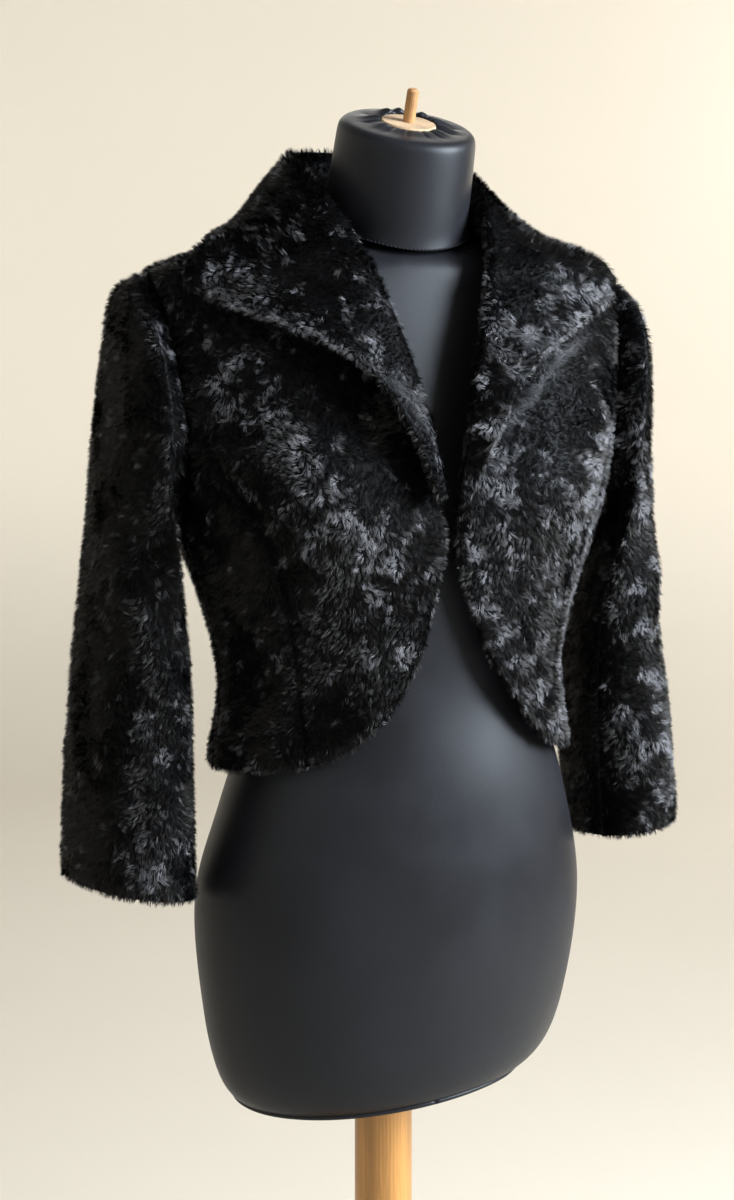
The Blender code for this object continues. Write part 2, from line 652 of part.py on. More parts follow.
def body_tree():
    """Search tree of the outer skin of the jacket body's left half."""
    angles = np.linspace(0.0, 180.0, 61)
    levels = np.linspace(HEM_SIDE_LEVEL, NECK_LEVEL, 81)
    places = np.stack(np.meshgrid(angles, levels), axis=-1)
    points = JACKET.point(places[..., 0], places[..., 1], WALL)
    rows, columns = points.shape[:2]
    quads = []
    for r in range(rows - 1):
        for c in range(columns - 1):
            n = r * columns + c
            quads.append((n, n + 1, n + columns + 1, n + columns))
    return BVHTree.FromPolygons([Vector(point) for point in points.reshape(-1, 3)], quads)


def lift_needed(point, tree, clearance):
    """Move that brings a point clear of the body."""
    near, normal, _, _ = tree.find_nearest(Vector(point))
    depth = clearance - (Vector(point) - near).dot(normal)
    return np.array(normal) * max(depth, 0.0)


def run_along(points):
    """Distance along a line of points, from 0 at its start to 1 at its end."""
    run = np.concatenate([[0.0], np.cumsum(np.linalg.norm(np.diff(points, axis=0), axis=1))])
    return run / run[-1]


def collar_lines(side):
    """Roll line, outer edge, swell and the two feet at each station of the collar."""
    feet = np.concatenate(collar_feet(side), axis=1)
    table = np.array(COLLAR_STATIONS)
    knots = run_along(table[:, :3])
    run = run_along(feet[:, :3])
    edge = smooth_rows(knots, table, run)[:, 3:6]
    wide = np.linalg.norm(np.diff(edge, axis=0), axis=1) > COLLAR_EDGE_STEP
    extra = 0.5 * (run[:-1] + run[1:])[wide]
    stations = np.sort(np.concatenate([run, extra]))
    feet = np.stack([np.interp(stations, run, column) for column in feet.T], axis=1)
    return smooth_rows(knots, table, stations), feet


def collar_sections(side):
    """Closed outlines of the collar at each station, from the break to the centre back."""
    rows, feet = collar_lines(side)
    roll, edge, swell = rows[:, 0:3], rows[:, 3:6], rows[:, 6]
    tangent = unit(np.gradient(roll, axis=0))
    tree = body_tree()
    outlines = []
    for n in range(len(rows)):
        outward = unit(np.cross(edge[n] - roll[n], tangent[n]))
        if outward @ (feet[n, :3] - roll[n]) > 0.0:
            outward = -outward
        pair = (feet[n, :3], feet[n, 3:])
        clearance = np.interp(n, (0, BREAK_STATIONS), (BREAK_CLEARANCE, COLLAR_CLEARANCE))
        outlines.append(collar_outline(roll[n], edge[n], pair, outward, swell[n], clearance, tree))
    return mirrored(np.stack(outlines), side)


def collar_outline(roll, edge, feet, outward, swell, clearance, tree):
    """One closed outline: up the face of the fall, over the roll, down the stand and back under."""
    share = np.linspace(1.0, 0.0, FALL_POINTS + 1)[:, None]
    face = roll + (edge - roll) * share + outward * 4.0 * swell * share * (1.0 - share)
    under = face - outward * COLLAR_WALL
    lift = np.array([lift_needed(point, tree, clearance) for point in under])
    face = face + lift
    under = under + lift
    down = np.linspace(0.0, 1.0, STAND_POINTS + 1)[1:, None]
    neck_side = face[-1] + (feet[0] - face[-1]) * down
    crotch = inner_corner(face[-1], under[0], feet)
    crotch = crotch + lift_needed(crotch, tree, clearance)
    top_of_foot = feet[0] + (feet[1] - feet[0]) * COLLAR_FOOT_RISE
    fall_under = under[:FALL_POINTS - 1][::-1]
    bend = 0.5 * (crotch + fall_under[0])
    return np.concatenate([face, neck_side, np.stack([feet[1], top_of_foot, crotch, bend]), fall_under])


def inner_corner(roll, edge, feet):
    """Corner under the roll, where the under side of the fall meets the back of the stand."""
    to_edge = unit(edge - roll)
    to_foot = unit(feet[1] - roll)
    bisector = unit(to_edge + to_foot)
    half_sine = math.sqrt(max(0.5 * (1.0 - to_edge @ to_foot), 0.01))
    longest = min(0.3 * np.linalg.norm(edge - roll), 0.6 * np.linalg.norm(feet[1] - roll))
    return roll + bisector * min(COLLAR_WALL / half_sine, longest)


def loft_object(name, rings, material, plain_ends=False):
    """Solid through closed rings, with a plain face or a fan at each end."""
    rings = np.asarray(rings)
    count, size = rings.shape[:2]
    points = rings.reshape(-1, 3)
    faces = []
    for r in range(count - 1):
        for c in range(size):
            d = (c + 1) % size
            faces.append((r * size + c, r * size + d, (r + 1) * size + d, (r + 1) * size + c))
    last = (count - 1) * size
    if plain_ends:
        faces.append(tuple(range(size))[::-1])
        faces.append(tuple(range(last, last + size)))
        return add_object(name, points, faces, material)
    points = np.concatenate([points, rings[0].mean(axis=0)[None], rings[-1].mean(axis=0)[None]])
    for c in range(size):
        d = (c + 1) % size
        faces.append((count * size, d, c))
        faces.append((count * size + 1, last + c, last + d))
    return add_object(name, points, faces, material)


def make_collar(side, material):
    """Collar half with its lapel, parted at the centre back."""
    rings = collar_sections(side)
    rings[-1][:, 0] = JACKET_SHIFT + side * 0.5 * SEAM_GAP
    return loft_object("collar_" + side_name(side), rings, material, plain_ends=True)


def make_torso(surface, material):
    """Form torso from its bottom edge to the neck seam."""
    angle = np.linspace(0.0, 360.0, TORSO_SEGMENTS, endpoint=False)
    angle = np.where(angle > 180.0, angle - 360.0, angle)
    top = FORM_NECK_RING[0]
    lower = np.array([ring[0] for ring in FORM_LOWER_RINGS[:3]])
    upper = np.linspace(lower[-1], top, TORSO_ROWS + 1)[1:]
    turn = np.radians(angle)
    flat = np.zeros_like(turn)
    rings = [np.stack([np.sin(turn), -np.cos(turn), flat], axis=-1) * BOTTOM_PATCH_RADIUS]
    rings[0][:, 2] = FORM_BOTTOM
    for level in np.concatenate([lower, upper]):
        ring = surface.point(angle, np.full_like(angle, level))
        share = max(0.0, 1.0 - (level - FORM_BOTTOM) / BOTTOM_SLOPE_REACH)
        ring[:, 2] += BOTTOM_SLOPE * share ** 2 * ring[:, 0]
        rings.append(ring)
    return loft_object("form_torso", rings, material)


def neck_frame():
    """Centre, sideways, forward and up directions of the tilted neck top."""
    centre = np.array(NECK_TOP_CENTRE)
    sideways = np.array([1.0, 0.0, 0.0])
    forward = np.array([0.0, -math.cos(NECK_TOP_TILT), -math.sin(NECK_TOP_TILT)])
    up = np.array([0.0, -math.sin(NECK_TOP_TILT), math.cos(NECK_TOP_TILT)])
    return centre, sideways, forward, up


def tilted_ring(radius, height, count):
    """Ring about the neck-top axis, at a height over the neck top."""
    centre, sideways, forward, up = neck_frame()
    turn = np.linspace(0.0, 2.0 * math.pi, count, endpoint=False)[:, None]
    return centre + up * height + radius * (np.sin(turn) * sideways + np.cos(turn) * forward)


def make_neck(surface, material):
    """Form neck from its seam to the rounded rim, with a shallow seat for the disc."""
    angle = np.linspace(0.0, 360.0, TORSO_SEGMENTS, endpoint=False)
    angle = np.where(angle > 180.0, angle - 360.0, angle)
    foot = surface.point(angle, np.full_like(angle, FORM_NECK_RING[0])) + np.array([0.0, 0.0, SEAM_GAP])
    head = tilted_ring(NECK_TOP_RADIUS, -NECK_RIM_ROUND, TORSO_SEGMENTS)
    rings = [foot + (head - foot) * share for share in np.linspace(0.0, 1.0, NECK_ROWS)]
    for turn in np.radians((30.0, 60.0, 90.0)):
        radius = NECK_TOP_RADIUS - NECK_RIM_ROUND * (1.0 - math.cos(turn))
        rings.append(tilted_ring(radius, NECK_RIM_ROUND * (math.sin(turn) - 1.0), TORSO_SEGMENTS))
    seat = DISC_RADIUS + SEAM_GAP
    rings.append(tilted_ring(seat, 0.0, TORSO_SEGMENTS))
    rings.append(tilted_ring(seat, -DISC_RECESS, TORSO_SEGMENTS))
    return loft_object("form_neck", rings, material)


def make_disc(material):
    """Wooden disc in the neck top."""
    floor = -DISC_RECESS + SEAM_GAP
    edge = 0.001
    rings = (tilted_ring(DISC_RADIUS, floor, ROUND_SEGMENTS),
             tilted_ring(DISC_RADIUS, floor + DISC_HEIGHT - edge, ROUND_SEGMENTS),
             tilted_ring(DISC_RADIUS - edge, floor + DISC_HEIGHT, ROUND_SEGMENTS))
    return loft_object("neck_disc", rings, material)


def make_peg(material):
    """Wooden peg on the disc, with a chamfered end."""
    floor = -DISC_RECESS + DISC_HEIGHT + 2.0 * SEAM_GAP
    edge = 0.0015
    count = 20
    rings = (tilted_ring(PEG_RADIUS, floor, count),
             tilted_ring(PEG_RADIUS, floor + PEG_LENGTH - edge, count),
             tilted_ring(PEG_RADIUS - edge, floor + PEG_LENGTH, count))
    return loft_object("neck_peg", rings, material)


def level_ring(radius, height, count=ROUND_SEGMENTS):
    """Flat ring about the pole axis."""
    turn = np.linspace(0.0, 2.0 * math.pi, count, endpoint=False)
    return np.stack([radius * np.cos(turn), radius * np.sin(turn), np.full(count, height)], axis=-1)


def make_pole(material):
    """Round pole from the base to the form."""
    rings = (level_ring(POLE_RADIUS, BASE_HEIGHT + SEAM_GAP),
             level_ring(POLE_RADIUS, FORM_BOTTOM - SEAM_GAP))
    return loft_object("pole", rings, material)


def make_base(material):
    """Round base with an eased upper edge."""
    rings = [level_ring(BASE_RADIUS, 0.0), level_ring(BASE_RADIUS, BASE_HEIGHT - BASE_EDGE)]
    for turn in np.radians((30.0, 60.0, 90.0)):
        radius = BASE_RADIUS - BASE_EDGE * (1.0 - math.cos(turn))
        rings.append(level_ring(radius, BASE_HEIGHT - BASE_EDGE * (1.0 - math.sin(turn))))
    return loft_object("stand_base", rings, material)


def build():
    """Make every piece."""
    clear_scene()
    plush = make_material("plush", PLUSH_COLOUR, 0.75)
    stretch = make_material("form_cloth", FORM_COLOUR, 0.55)
    pole_wood = make_material("pole_wood", POLE_COLOUR, 0.45)
    disc_wood = make_material("disc_wood", DISC_COLOUR, 0.60)
    surface = form_surface()
    for side in (RIGHT, LEFT):
        make_front(side, plush)
        make_side_front(side, plush)
        make_back(side, plush)
        make_sleeve(side, plush)
        make_collar(side, plush)
    make_torso(surface, stretch)
    make_neck(surface, stretch)
    make_disc(disc_wood)
    make_peg(disc_wood)
    make_pole(pole_wood)
    make_base(pole_wood)


build()
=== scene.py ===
"""Looks of a cropped plush blazer on a dress form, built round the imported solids.

Each cloth panel is a thin backing on the form of its solid, with a crushed pile sown on it.
"""
import math

import bmesh
import bpy
import numpy as np
from bpy.props import FloatProperty, FloatVectorProperty, IntProperty, PointerProperty
from mathutils import Euler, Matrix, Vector
from mathutils.bvhtree import BVHTree
from mathutils.kdtree import KDTree


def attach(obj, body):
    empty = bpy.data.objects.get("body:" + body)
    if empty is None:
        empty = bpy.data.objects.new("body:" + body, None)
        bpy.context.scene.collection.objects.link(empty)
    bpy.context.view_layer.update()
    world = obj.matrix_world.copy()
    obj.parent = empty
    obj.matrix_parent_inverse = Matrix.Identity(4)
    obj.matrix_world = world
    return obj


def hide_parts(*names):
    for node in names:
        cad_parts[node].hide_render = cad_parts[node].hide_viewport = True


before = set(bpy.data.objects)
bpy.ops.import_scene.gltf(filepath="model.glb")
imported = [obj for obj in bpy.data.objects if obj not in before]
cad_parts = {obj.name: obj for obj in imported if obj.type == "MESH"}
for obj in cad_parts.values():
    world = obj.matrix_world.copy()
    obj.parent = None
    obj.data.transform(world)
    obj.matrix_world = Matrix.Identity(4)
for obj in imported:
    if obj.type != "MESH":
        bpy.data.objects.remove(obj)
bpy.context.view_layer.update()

bl_info = {
    "name": "Plush Blazer on a Dress Form",
    "version": (1, 0, 0),
    "blender": (4, 5, 0),
    "location": "View3D > Sidebar > Blazer",
    "description": "Sews a crushed plush blazer and dresses its form, pole and base",
    "category": "Object",
}

BODY = "root"
WELD = 0.00002
WALL = 0.0060
# Edges that bend more than this stay sharp, quite so on the form and less on the collar.
BEND_ANGLE = math.radians(50.0)
FORM_CREASE = 1.0
COLLAR_CREASE = 0.75
# Share of the pile's room that is left on the rims and on the collar.
RIM_ROOM = 0.4
RIGHT, LEFT = -1, 1
JACKET_SHIFT = -0.006

# Cloth panels. Columns: node, kind (part of the body, a sleeve or the collar), side, width and length of
# the rectangle that it was cut from, and area of the cut.
PANELS = (
    ("front_right", "body", RIGHT, 0.19, 0.42, 0.0541),
    ("front_left", "body", LEFT, 0.19, 0.42, 0.0522),
    ("side_front_right", "body", RIGHT, 0.09, 0.28, 0.0184),
    ("side_front_left", "body", LEFT, 0.09, 0.28, 0.0182),
    ("back_right", "body", RIGHT, 0.25, 0.45, 0.0916),
    ("back_left", "body", LEFT, 0.25, 0.45, 0.0916),
    ("sleeve_top_right", "sleeve", RIGHT, 0.21, 0.50, 0.0820),
    ("sleeve_top_left", "sleeve", LEFT, 0.21, 0.50, 0.0811),
    ("sleeve_under_right", "sleeve", RIGHT, 0.13, 0.37, 0.0382),
    ("sleeve_under_left", "sleeve", LEFT, 0.13, 0.37, 0.0371),
    ("collar_right", "collar", RIGHT, 0.16, 0.44, 0.0433),
    ("collar_left", "collar", LEFT, 0.16, 0.44, 0.0433),
)
CLOTH_NODES = tuple(row[0] for row in PANELS)

# Faces of a cloth wall.
OUTER, INNER, FREE_RIM, SEAM_RIM = 0, 1, 2, 3
# A face this close to another panel and turned to it is a seam rim.
SEAM_REACH = 0.0010
SEAM_FACING = -0.5
# Tufts with less painted sheen than this are made of standing strands.
STANDING_LIGHT = 0.06
FACING_LIMIT = 0.30
BODY_CENTRE = Vector((JACKET_SHIFT, -0.020, 1.000))
# Middle line of the wearer's left sleeve, from its head to its cuff.
SLEEVE_HEAD = (0.200, -0.010, 1.040)
SLEEVE_CUFF = (0.216, 0.005, 0.667)

# Wearer's left collar from the break to its point. Columns: x, y and z of the roll line, x, y and z of the
# outer edge, and the share by which the edge is drawn towards the roll.
COLLAR_LINES = (
    (0.0045, -0.1405, 0.9700, 0.0120, -0.1440, 0.9650, 0.00),
    (0.0085, -0.1405, 0.9900, 0.0215, -0.1480, 0.9870, 0.08),
    (0.0140, -0.1370, 1.0180, 0.0350, -0.1490, 1.0110, 0.14),
    (0.0230, -0.1290, 1.0560, 0.0640, -0.1480, 1.0420, 0.30),
    (0.0330, -0.1180, 1.0920, 0.0980, -0.1360, 1.0650, 0.33),
    (0.0430, -0.1040, 1.1260, 0.1300, -0.1140, 1.0840, 0.19),
    (0.0520, -0.0870, 1.1530, 0.1540, -0.0870, 1.0990, 0.08),
    (0.0600, -0.0670, 1.1780, 0.1680, -0.0560, 1.1160, 0.00),
)
# Share of the way from roll to edge over which the drawing in grows to its full size.
TRIM_RAMP = 0.40
# Edge of the collar on the wearer's left shoulder, and how far it is pressed down there.
COLLAR_ON_SHOULDER = (0.146, -0.012, 1.152)
COLLAR_PRESS_REACH = 0.028
COLLAR_PRESS_DEPTH = 0.006
# Nap this close to the collar stands and loses its painted sheen, a painted shadow under and beside the
# collar, and all of it within this share of the way.
COLLAR_SHADE = 0.020
COLLAR_DARK = 0.45

# Creases pressed into the backing. Columns: x, y and z of one end, x, y and z of the other, width and depth.
CREASES = (
    (-0.172, -0.078, 1.000, -0.120, -0.118, 0.930, 0.008, 0.0016),
    (-0.168, -0.070, 0.970, -0.128, -0.112, 0.900, 0.007, 0.0012),
    (0.160, -0.078, 1.000, 0.110, -0.120, 0.925, 0.008, 0.0016),
    (-0.205, -0.070, 0.930, -0.238, -0.020, 0.905, 0.008, 0.0020),
    (-0.192, -0.062, 0.880, -0.236, -0.030, 0.868, 0.008, 0.0018),
    (-0.190, -0.060, 0.842, -0.240, 0.010, 0.850, 0.007, 0.0015),
    (0.200, -0.066, 0.925, 0.232, -0.010, 0.900, 0.008, 0.0020),
    (0.186, -0.060, 0.885, 0.232, -0.020, 0.868, 0.008, 0.0018),
    (0.190, -0.060, 0.838, 0.236, 0.020, 0.846, 0.007, 0.0015),
    (-0.140, 0.040, 0.860, -0.060, 0.078, 0.830, 0.009, 0.0016),
    (0.130, 0.040, 0.860, 0.050, 0.078, 0.826, 0.009, 0.0016),
    (-0.150, 0.060, 1.030, -0.080, 0.098, 0.980, 0.010, 0.0014),
    (0.140, 0.060, 1.030, 0.070, 0.098, 0.976, 0.010, 0.0014),
)

# Places where the photo shows the nap crushed flat and shining: there the nap lies flat, and its shine is a
# painted sheen, a lighter grey in the strands' colour.
# Columns: photo pixel across and down, reach in pixels and strength.
CRUSHED_NAP_AND_SHEEN = (
    # near collar
    (215, 272, 18, 1.00), (238, 264, 14, 0.80), (272, 283, 8, 0.70), (248, 308, 9, 0.80),
    (278, 318, 9, 0.65), (308, 326, 9, 0.55), (349, 305, 8, 0.70), (364, 307, 9, 0.90),
    (358, 277, 7, 0.50), (373, 340, 8, 0.70), (379, 364, 8, 0.80), (345, 340, 8, 0.60),
    (340, 231, 7, 0.70),
    # near front
    (209, 343, 11, 0.70), (233, 367, 16, 0.95), (218, 385, 11, 0.75), (257, 396, 12, 0.80),
    (272, 415, 12, 0.80), (299, 445, 15, 0.90), (314, 466, 19, 1.00), (331, 487, 17, 0.90),
    (308, 500, 15, 0.80), (343, 512, 15, 0.85), (325, 526, 14, 0.75), (360, 528, 12, 0.85),
    (371, 546, 15, 0.95), (387, 564, 17, 1.00), (366, 594, 14, 0.80), (429, 570, 11, 0.70),
    (394, 503, 9, 0.65), (420, 521, 7, 0.60), (247, 495, 8, 0.90), (237, 462, 6, 0.80),
    (272, 526, 7, 0.70), (281, 562, 6, 0.50), (320, 560, 16, 0.40), (368, 657, 10, 0.50),
    # far collar
    (481, 278, 15, 0.75), (502, 325, 17, 1.00), (482, 377, 13, 1.00), (511, 366, 17, 1.00),
    (529, 337, 15, 1.00), (498, 349, 16, 0.95), (547, 298, 13, 0.90), (574, 295, 17, 1.00),
    (594, 290, 13, 0.95), (563, 271, 12, 0.90), (575, 320, 15, 1.00), (548, 342, 14, 0.95),
    # far front
    (493, 427, 16, 0.95), (500, 456, 22, 1.00), (481, 483, 17, 1.00), (506, 490, 22, 1.00),
    (540, 470, 15, 0.70), (598, 466, 16, 1.00), (608, 440, 14, 0.95), (590, 498, 18, 1.00),
    (580, 528, 16, 1.00), (552, 514, 15, 0.80), (509, 544, 14, 0.65), (499, 570, 13, 0.55),
    (545, 567, 14, 0.55), (580, 562, 11, 0.80), (488, 611, 11, 0.90), (503, 632, 13, 0.95),
    (518, 662, 13, 0.90), (538, 694, 14, 0.90), (556, 726, 14, 0.90), (560, 600, 13, 0.60),
    (550, 640, 14, 0.60), (572, 690, 12, 0.55), (598, 409, 9, 0.70), (568, 397, 9, 0.55),
    (474, 550, 9, 0.70),
    # far sleeve
    (629, 352, 10, 0.90), (620, 400, 11, 0.95), (637, 420, 10, 0.90), (642, 478, 12, 1.00),
    (646, 511, 13, 1.00), (632, 515, 10, 0.60), (654, 566, 10, 0.90), (633, 584, 11, 0.80),
    (645, 622, 14, 1.00), (650, 680, 15, 0.85), (636, 722, 14, 0.75), (658, 745, 14, 0.85),
    (630, 776, 13, 0.70), (664, 798, 14, 0.85), (642, 815, 12, 0.70),
    # near sleeve
    (160, 700, 9, 0.40), (178, 760, 10, 0.40), (160, 830, 10, 0.40), (186, 846, 9, 0.45),
    (152, 268, 9, 0.45),
)

# Places where the photo shows the pile black, mostly in shade under the collar and lapel and on the near
# sleeve turned from the light: the nap stands there and loses its painted sheen, a painted shade. In the same
# columns.
STANDING_NAP_IN_SHADE = (
    (388, 402, 15, 1.00), (405, 430, 16, 1.00), (418, 460, 15, 1.00), (428, 492, 13, 1.00),
    (375, 392, 13, 1.00), (395, 455, 42, 1.00), (350, 425, 36, 1.00), (310, 395, 28, 1.00),
    (420, 500, 26, 0.80), (300, 215, 42, 0.90), (250, 225, 26, 0.80), (310, 265, 22, 0.80),
    (125, 400, 60, 1.00), (115, 520, 60, 1.00), (100, 640, 60, 1.00), (85, 780, 60, 1.00),
    (240, 640, 50, 1.00), (300, 700, 50, 1.00), (225, 560, 34, 1.00), (380, 720, 40, 0.90),
    (517, 272, 18, 0.90), (490, 238, 14, 0.80), (532, 418, 16, 1.00), (540, 392, 12, 0.90),
    (598, 338, 15, 0.90), (604, 352, 13, 1.00), (584, 368, 13, 1.00), (560, 392, 13, 1.00),
    (546, 414, 13, 1.00), (530, 434, 13, 1.00), (553, 497, 11, 0.80), (580, 437, 12, 0.80),
    (474, 533, 8, 0.80), (477, 565, 8, 0.80), (600, 620, 30, 0.90),
)
# Skin that faces the photo's camera more than this follows the photo, fully so after the ramp.
SEEN_FROM, SEEN_RAMP = 0.10, 0.30
# Broad waves of crushed nap, with its painted sheen, where the photo shows none: wavelength and start of the
# random draws.
BROAD_NAP = (0.075, 11)
# Crushing of those waves out of the photo's sight, what is taken off within it, and how far a place
# where the nap stands goes below none.
UNSEEN_CRUSHING, SEEN_LOSS, STANDING_DROP = 0.8, 0.6, 0.25
# Level of crushing at which the nap begins to lie, and the ramp to lying flat.
LYING_FROM, LYING_RAMP = 0.30, 0.62
# Breaks in the crushed places: wavelength, height and start of the random draws.
NAP_WAVES = ((0.022, 0.20, 12), (0.009, 0.18, 13), (0.0045, 0.13, 14))
# Edges of the collar and lapel that catch the light, given a painted highlight, in photo pixels, with their
# reach and strength.
NEAR_EDGE = ((205, 288), (224, 298), (254, 316), (290, 328), (331, 343), (370, 364), (400, 385), (421, 409),
             (436, 445), (448, 475), (450, 511), (453, 548), (444, 590), (441, 624), (434, 652))
FAR_EDGE = ((610, 288), (586, 332), (561, 356), (530, 398), (513, 413))
EDGE_FRINGES = (NEAR_EDGE, FAR_EDGE)
FRINGE_REACH = 5.0
FRINGE_STRENGTH = 0.60

# Turns of the tufts in the skin: broad and narrow waves (wavelength, start of the random draws) and spread.
LEAN_WAVES = (0.060, 21)
CURL_WAVES = (0.016, 22)
LEAN_SPREAD = 0.38
# Rise of a tuft from the skin where it stands, how much of it crushing takes, its spread and its limits.
STANDING_RISE = 40.0
CRUSHED_DROP = 22.0
RISE_SPREAD = 7.0
RISE_LIMITS = (math.radians(8.0), math.radians(70.0))
ROLL_RISE = math.radians(30.0)
# Seams flatten the pile from this far, over this width.
SEAM_PILE = (0.003, 0.006)
# Roots sit this deep in the backing, and carry less of the painted sheen, so they are darker than the tips.
ROOT_DEPTH = 0.0004
TONE_ALONG = (0.40, 0.40, 1.0)
# Share of strands that do not stray from their tuft.
KEPT_STRANDS = 0.99

# Tilted neck top of the form, and the seam where its neck is sewn on (an ellipse with lifts).
NECK_TOP_CENTRE = Vector((0.0, -0.045, 1.2405))
NECK_TOP_TILT = math.radians(21.0)
NECK_SEAM = {"level": 1.161, "half_width": 0.0565, "front": -0.0738, "middle": -0.017, "back": 0.0375,
             "front_lift": -0.016, "back_lift": 0.022}
# How far the neck flares at its seam, and from how high.
SEAM_FLARE = 0.0012
SEAM_FLARE_HEIGHT = 0.012
# Depth of the chest that is evened out under the seam, and how often.
CHEST_SMOOTHING = 0.045
CHEST_SMOOTHING_ROUNDS = 12
# Ring of the gathered lip round the disc, and of the folds that spread from it: radius and half width.
LIP_RING = (0.0255, 0.0060)
FOLD_RING = (0.0270, 0.0095)
# How far the lip leans over the disc.
LIP_LEAN = 0.0016
# Places along a stitch as shares of its pitch, with how far the thread stands out and its radius there.
STITCH_SHARES = (0.14, 0.30, 0.50, 0.70, 0.86)
STITCH_LIFTS = (0.0001, 0.0005, 0.0007, 0.0005, 0.0001)
STITCH_RADII = (0.00018, 0.00032, 0.00036, 0.00032, 0.00018)
STITCHES_ABOVE_SEAM = 0.0012
STITCH_SIDES = 6
# Gathers of the cover round the disc. Columns: turn from the front and half width (degrees), and height.
GATHERS = (
    (176.0, 11.0, 0.0040),
    (152.0, 8.0, 0.0026),
    (134.0, 9.0, 0.0036),
    (114.0, 7.0, 0.0022),
    (97.0, 6.0, 0.0028),
    (80.0, 4.5, -0.0016),
    (66.0, 6.0, 0.0018),
    (52.0, 4.0, -0.0014),
    (36.0, 5.0, 0.0008),
    (22.0, 3.0, -0.0012),
    (2.0, 3.0, -0.0010),
    (-24.0, 2.8, -0.0012),
    (-50.0, 4.0, -0.0010),
    (-72.0, 7.0, 0.0008),
    (-92.0, 4.5, -0.0014),
    (-116.0, 9.0, 0.0018),
    (-138.0, 5.0, -0.0012),
    (-160.0, 9.0, 0.0036),
)
# Bottom edge of the form.
BOTTOM_LEVEL = 0.4955
BOTTOM_SLOPE = 0.10
PIPING_POINTS = 160
PIPING_SIDES = 10

# Gloss of the cover, the seam thread, the matted roots and the inside of the cloth, and the inside's colour.
COVER_GLOSS = 0.25
THREAD_GLOSS = 0.20
ROOTS_GLOSS = 0.05
INSIDE_GLOSS = 0.20
INSIDE_COLOUR = (0.010, 0.010, 0.011)
# Stretch of the wood's broad and fine grain along X, Y and its length, and scales of the knit.
BROAD_GRAIN = (26.0, 26.0, 1.6)
FINE_GRAIN = (240.0, 240.0, 9.0)
LOOP_SCALE = 1300.0
UNEVEN_SCALE = 16.0
# Roughness and varnish of the wood.
BARE_WOOD = (0.62, 0.0)
VARNISHED_WOOD = (0.42, 0.20)

# Floor that turns up into a backdrop: its sizes, the corners round it and the steps in its bend.
SWEEP_RADIUS, SWEEP_BEND, SWEEP_HEIGHT = 4.2, 0.9, 4.5
SWEEP_CORNERS, SWEEP_STEPS = 96, 8
# Soft lights. Columns: name, place, what it is aimed at, size, power as a share of the key light, and colour.
COOL, WARM = (0.93, 0.97, 1.0), (1.0, 0.985, 0.96)
CHEST = (0.0, -0.05, 0.95)
LIGHTS = (
    ("key", (1.36, -1.20, 1.62), CHEST, (0.9, 1.3), 1.00, COOL),
    ("fill", (-1.8, -1.4, 1.5), CHEST, (1.4, 1.6), 0.03, COOL),
    ("behind", (0.9, 2.4, 2.3), CHEST, (1.4, 1.4), 0.08, WARM),
    ("wash", (3.2, 1.7, 1.9), (2.3, 3.6, 1.1), (1.2, 1.2), 0.27, WARM),
)

# Camera at the photo's place.
CAMERA_AZIMUTH = math.radians(23.0)
CAMERA_DISTANCE = 1.60
PHOTO_SIDE = np.array([-math.sin(CAMERA_AZIMUTH), -math.cos(CAMERA_AZIMUTH), 0.0])
CAMERA_SIDE_STEP = 0.0134
CAMERA_HEIGHT = 1.080
CAMERA_PITCH = math.atan(260.0 / 2030.0)
CAMERA_LENS = 60.9
CAMERA_SENSOR = 36.0
PHOTO_SIZE = (734, 1200)


class PlushSettings(bpy.types.PropertyGroup):
    """Sizes and colours of the plush cloth."""

    backing: FloatProperty(name="Backing", description="Thickness of the backing and the matted roots",
                           default=0.0042, unit="LENGTH")
    pile_length: FloatProperty(name="Pile length", description="Length of a strand of the pile",
                               default=0.0051, unit="LENGTH")
    strand_width: FloatProperty(name="Strand width", description="Greatest width of a strand",
                                default=0.00052, unit="LENGTH")
    density: FloatProperty(name="Density", description="Strands on each square centimetre", default=108.0)
    tuft: IntProperty(name="Tuft", description="Strands that lean together in a tuft", default=8)
    seed: IntProperty(name="Seed", description="Start of the random draws", default=7)
    dark: FloatVectorProperty(name="Dark", description="Colour of standing pile", subtype="COLOR",
                              default=(0.0030, 0.0030, 0.0034))
    # The light colour is a painted sheen: crushed strands are as black as the rest, and this grey stands in
    # for their shine.
    light: FloatVectorProperty(name="Light", description="Colour of crushed pile", subtype="COLOR",
                               default=(0.20, 0.21, 0.24))


class FormSettings(bpy.types.PropertyGroup):
    """Sizes and colours of the dress form."""

    cloth: FloatVectorProperty(name="Cloth", description="Colour of the stretch cover", subtype="COLOR",
                               default=(0.0085, 0.0090, 0.0120))
    thread: FloatVectorProperty(name="Thread", description="Colour of the seam thread", subtype="COLOR",
                                default=(0.022, 0.024, 0.030))
    lip: FloatProperty(name="Lip", description="Height of the gathered lip round the disc",
                       default=0.0026, unit="LENGTH")
    piping: FloatProperty(name="Piping", description="Radius of the piping at the bottom edge",
                          default=0.0020, unit="LENGTH")
    stitches: IntProperty(name="Stitches", description="Stitches round the neck seam", default=120)


class WoodSettings(bpy.types.PropertyGroup):
    """Colours of the wooden pieces."""

    pole: FloatVectorProperty(name="Pole", description="Honey colour of the varnished pole", subtype="COLOR",
                              default=(0.44, 0.215, 0.056))
    disc: FloatVectorProperty(name="Disc", description="Pale colour of the bare disc", subtype="COLOR",
                              default=(0.44, 0.32, 0.205))
    peg: FloatVectorProperty(name="Peg", description="Brown colour of the peg", subtype="COLOR",
                             default=(0.36, 0.19, 0.075))


class StageSettings(bpy.types.PropertyGroup):
    """Floor, backdrop and light."""

    pale: FloatVectorProperty(name="Pale", description="Colour of the floor and backdrop", subtype="COLOR",
                              default=(0.80, 0.75, 0.66))
    key_power: FloatProperty(name="Key light", description="Power of the soft key light",
                             default=150.0, unit="POWER")
    fill: FloatProperty(name="Fill", description="Strength of the light from all round", default=0.34)


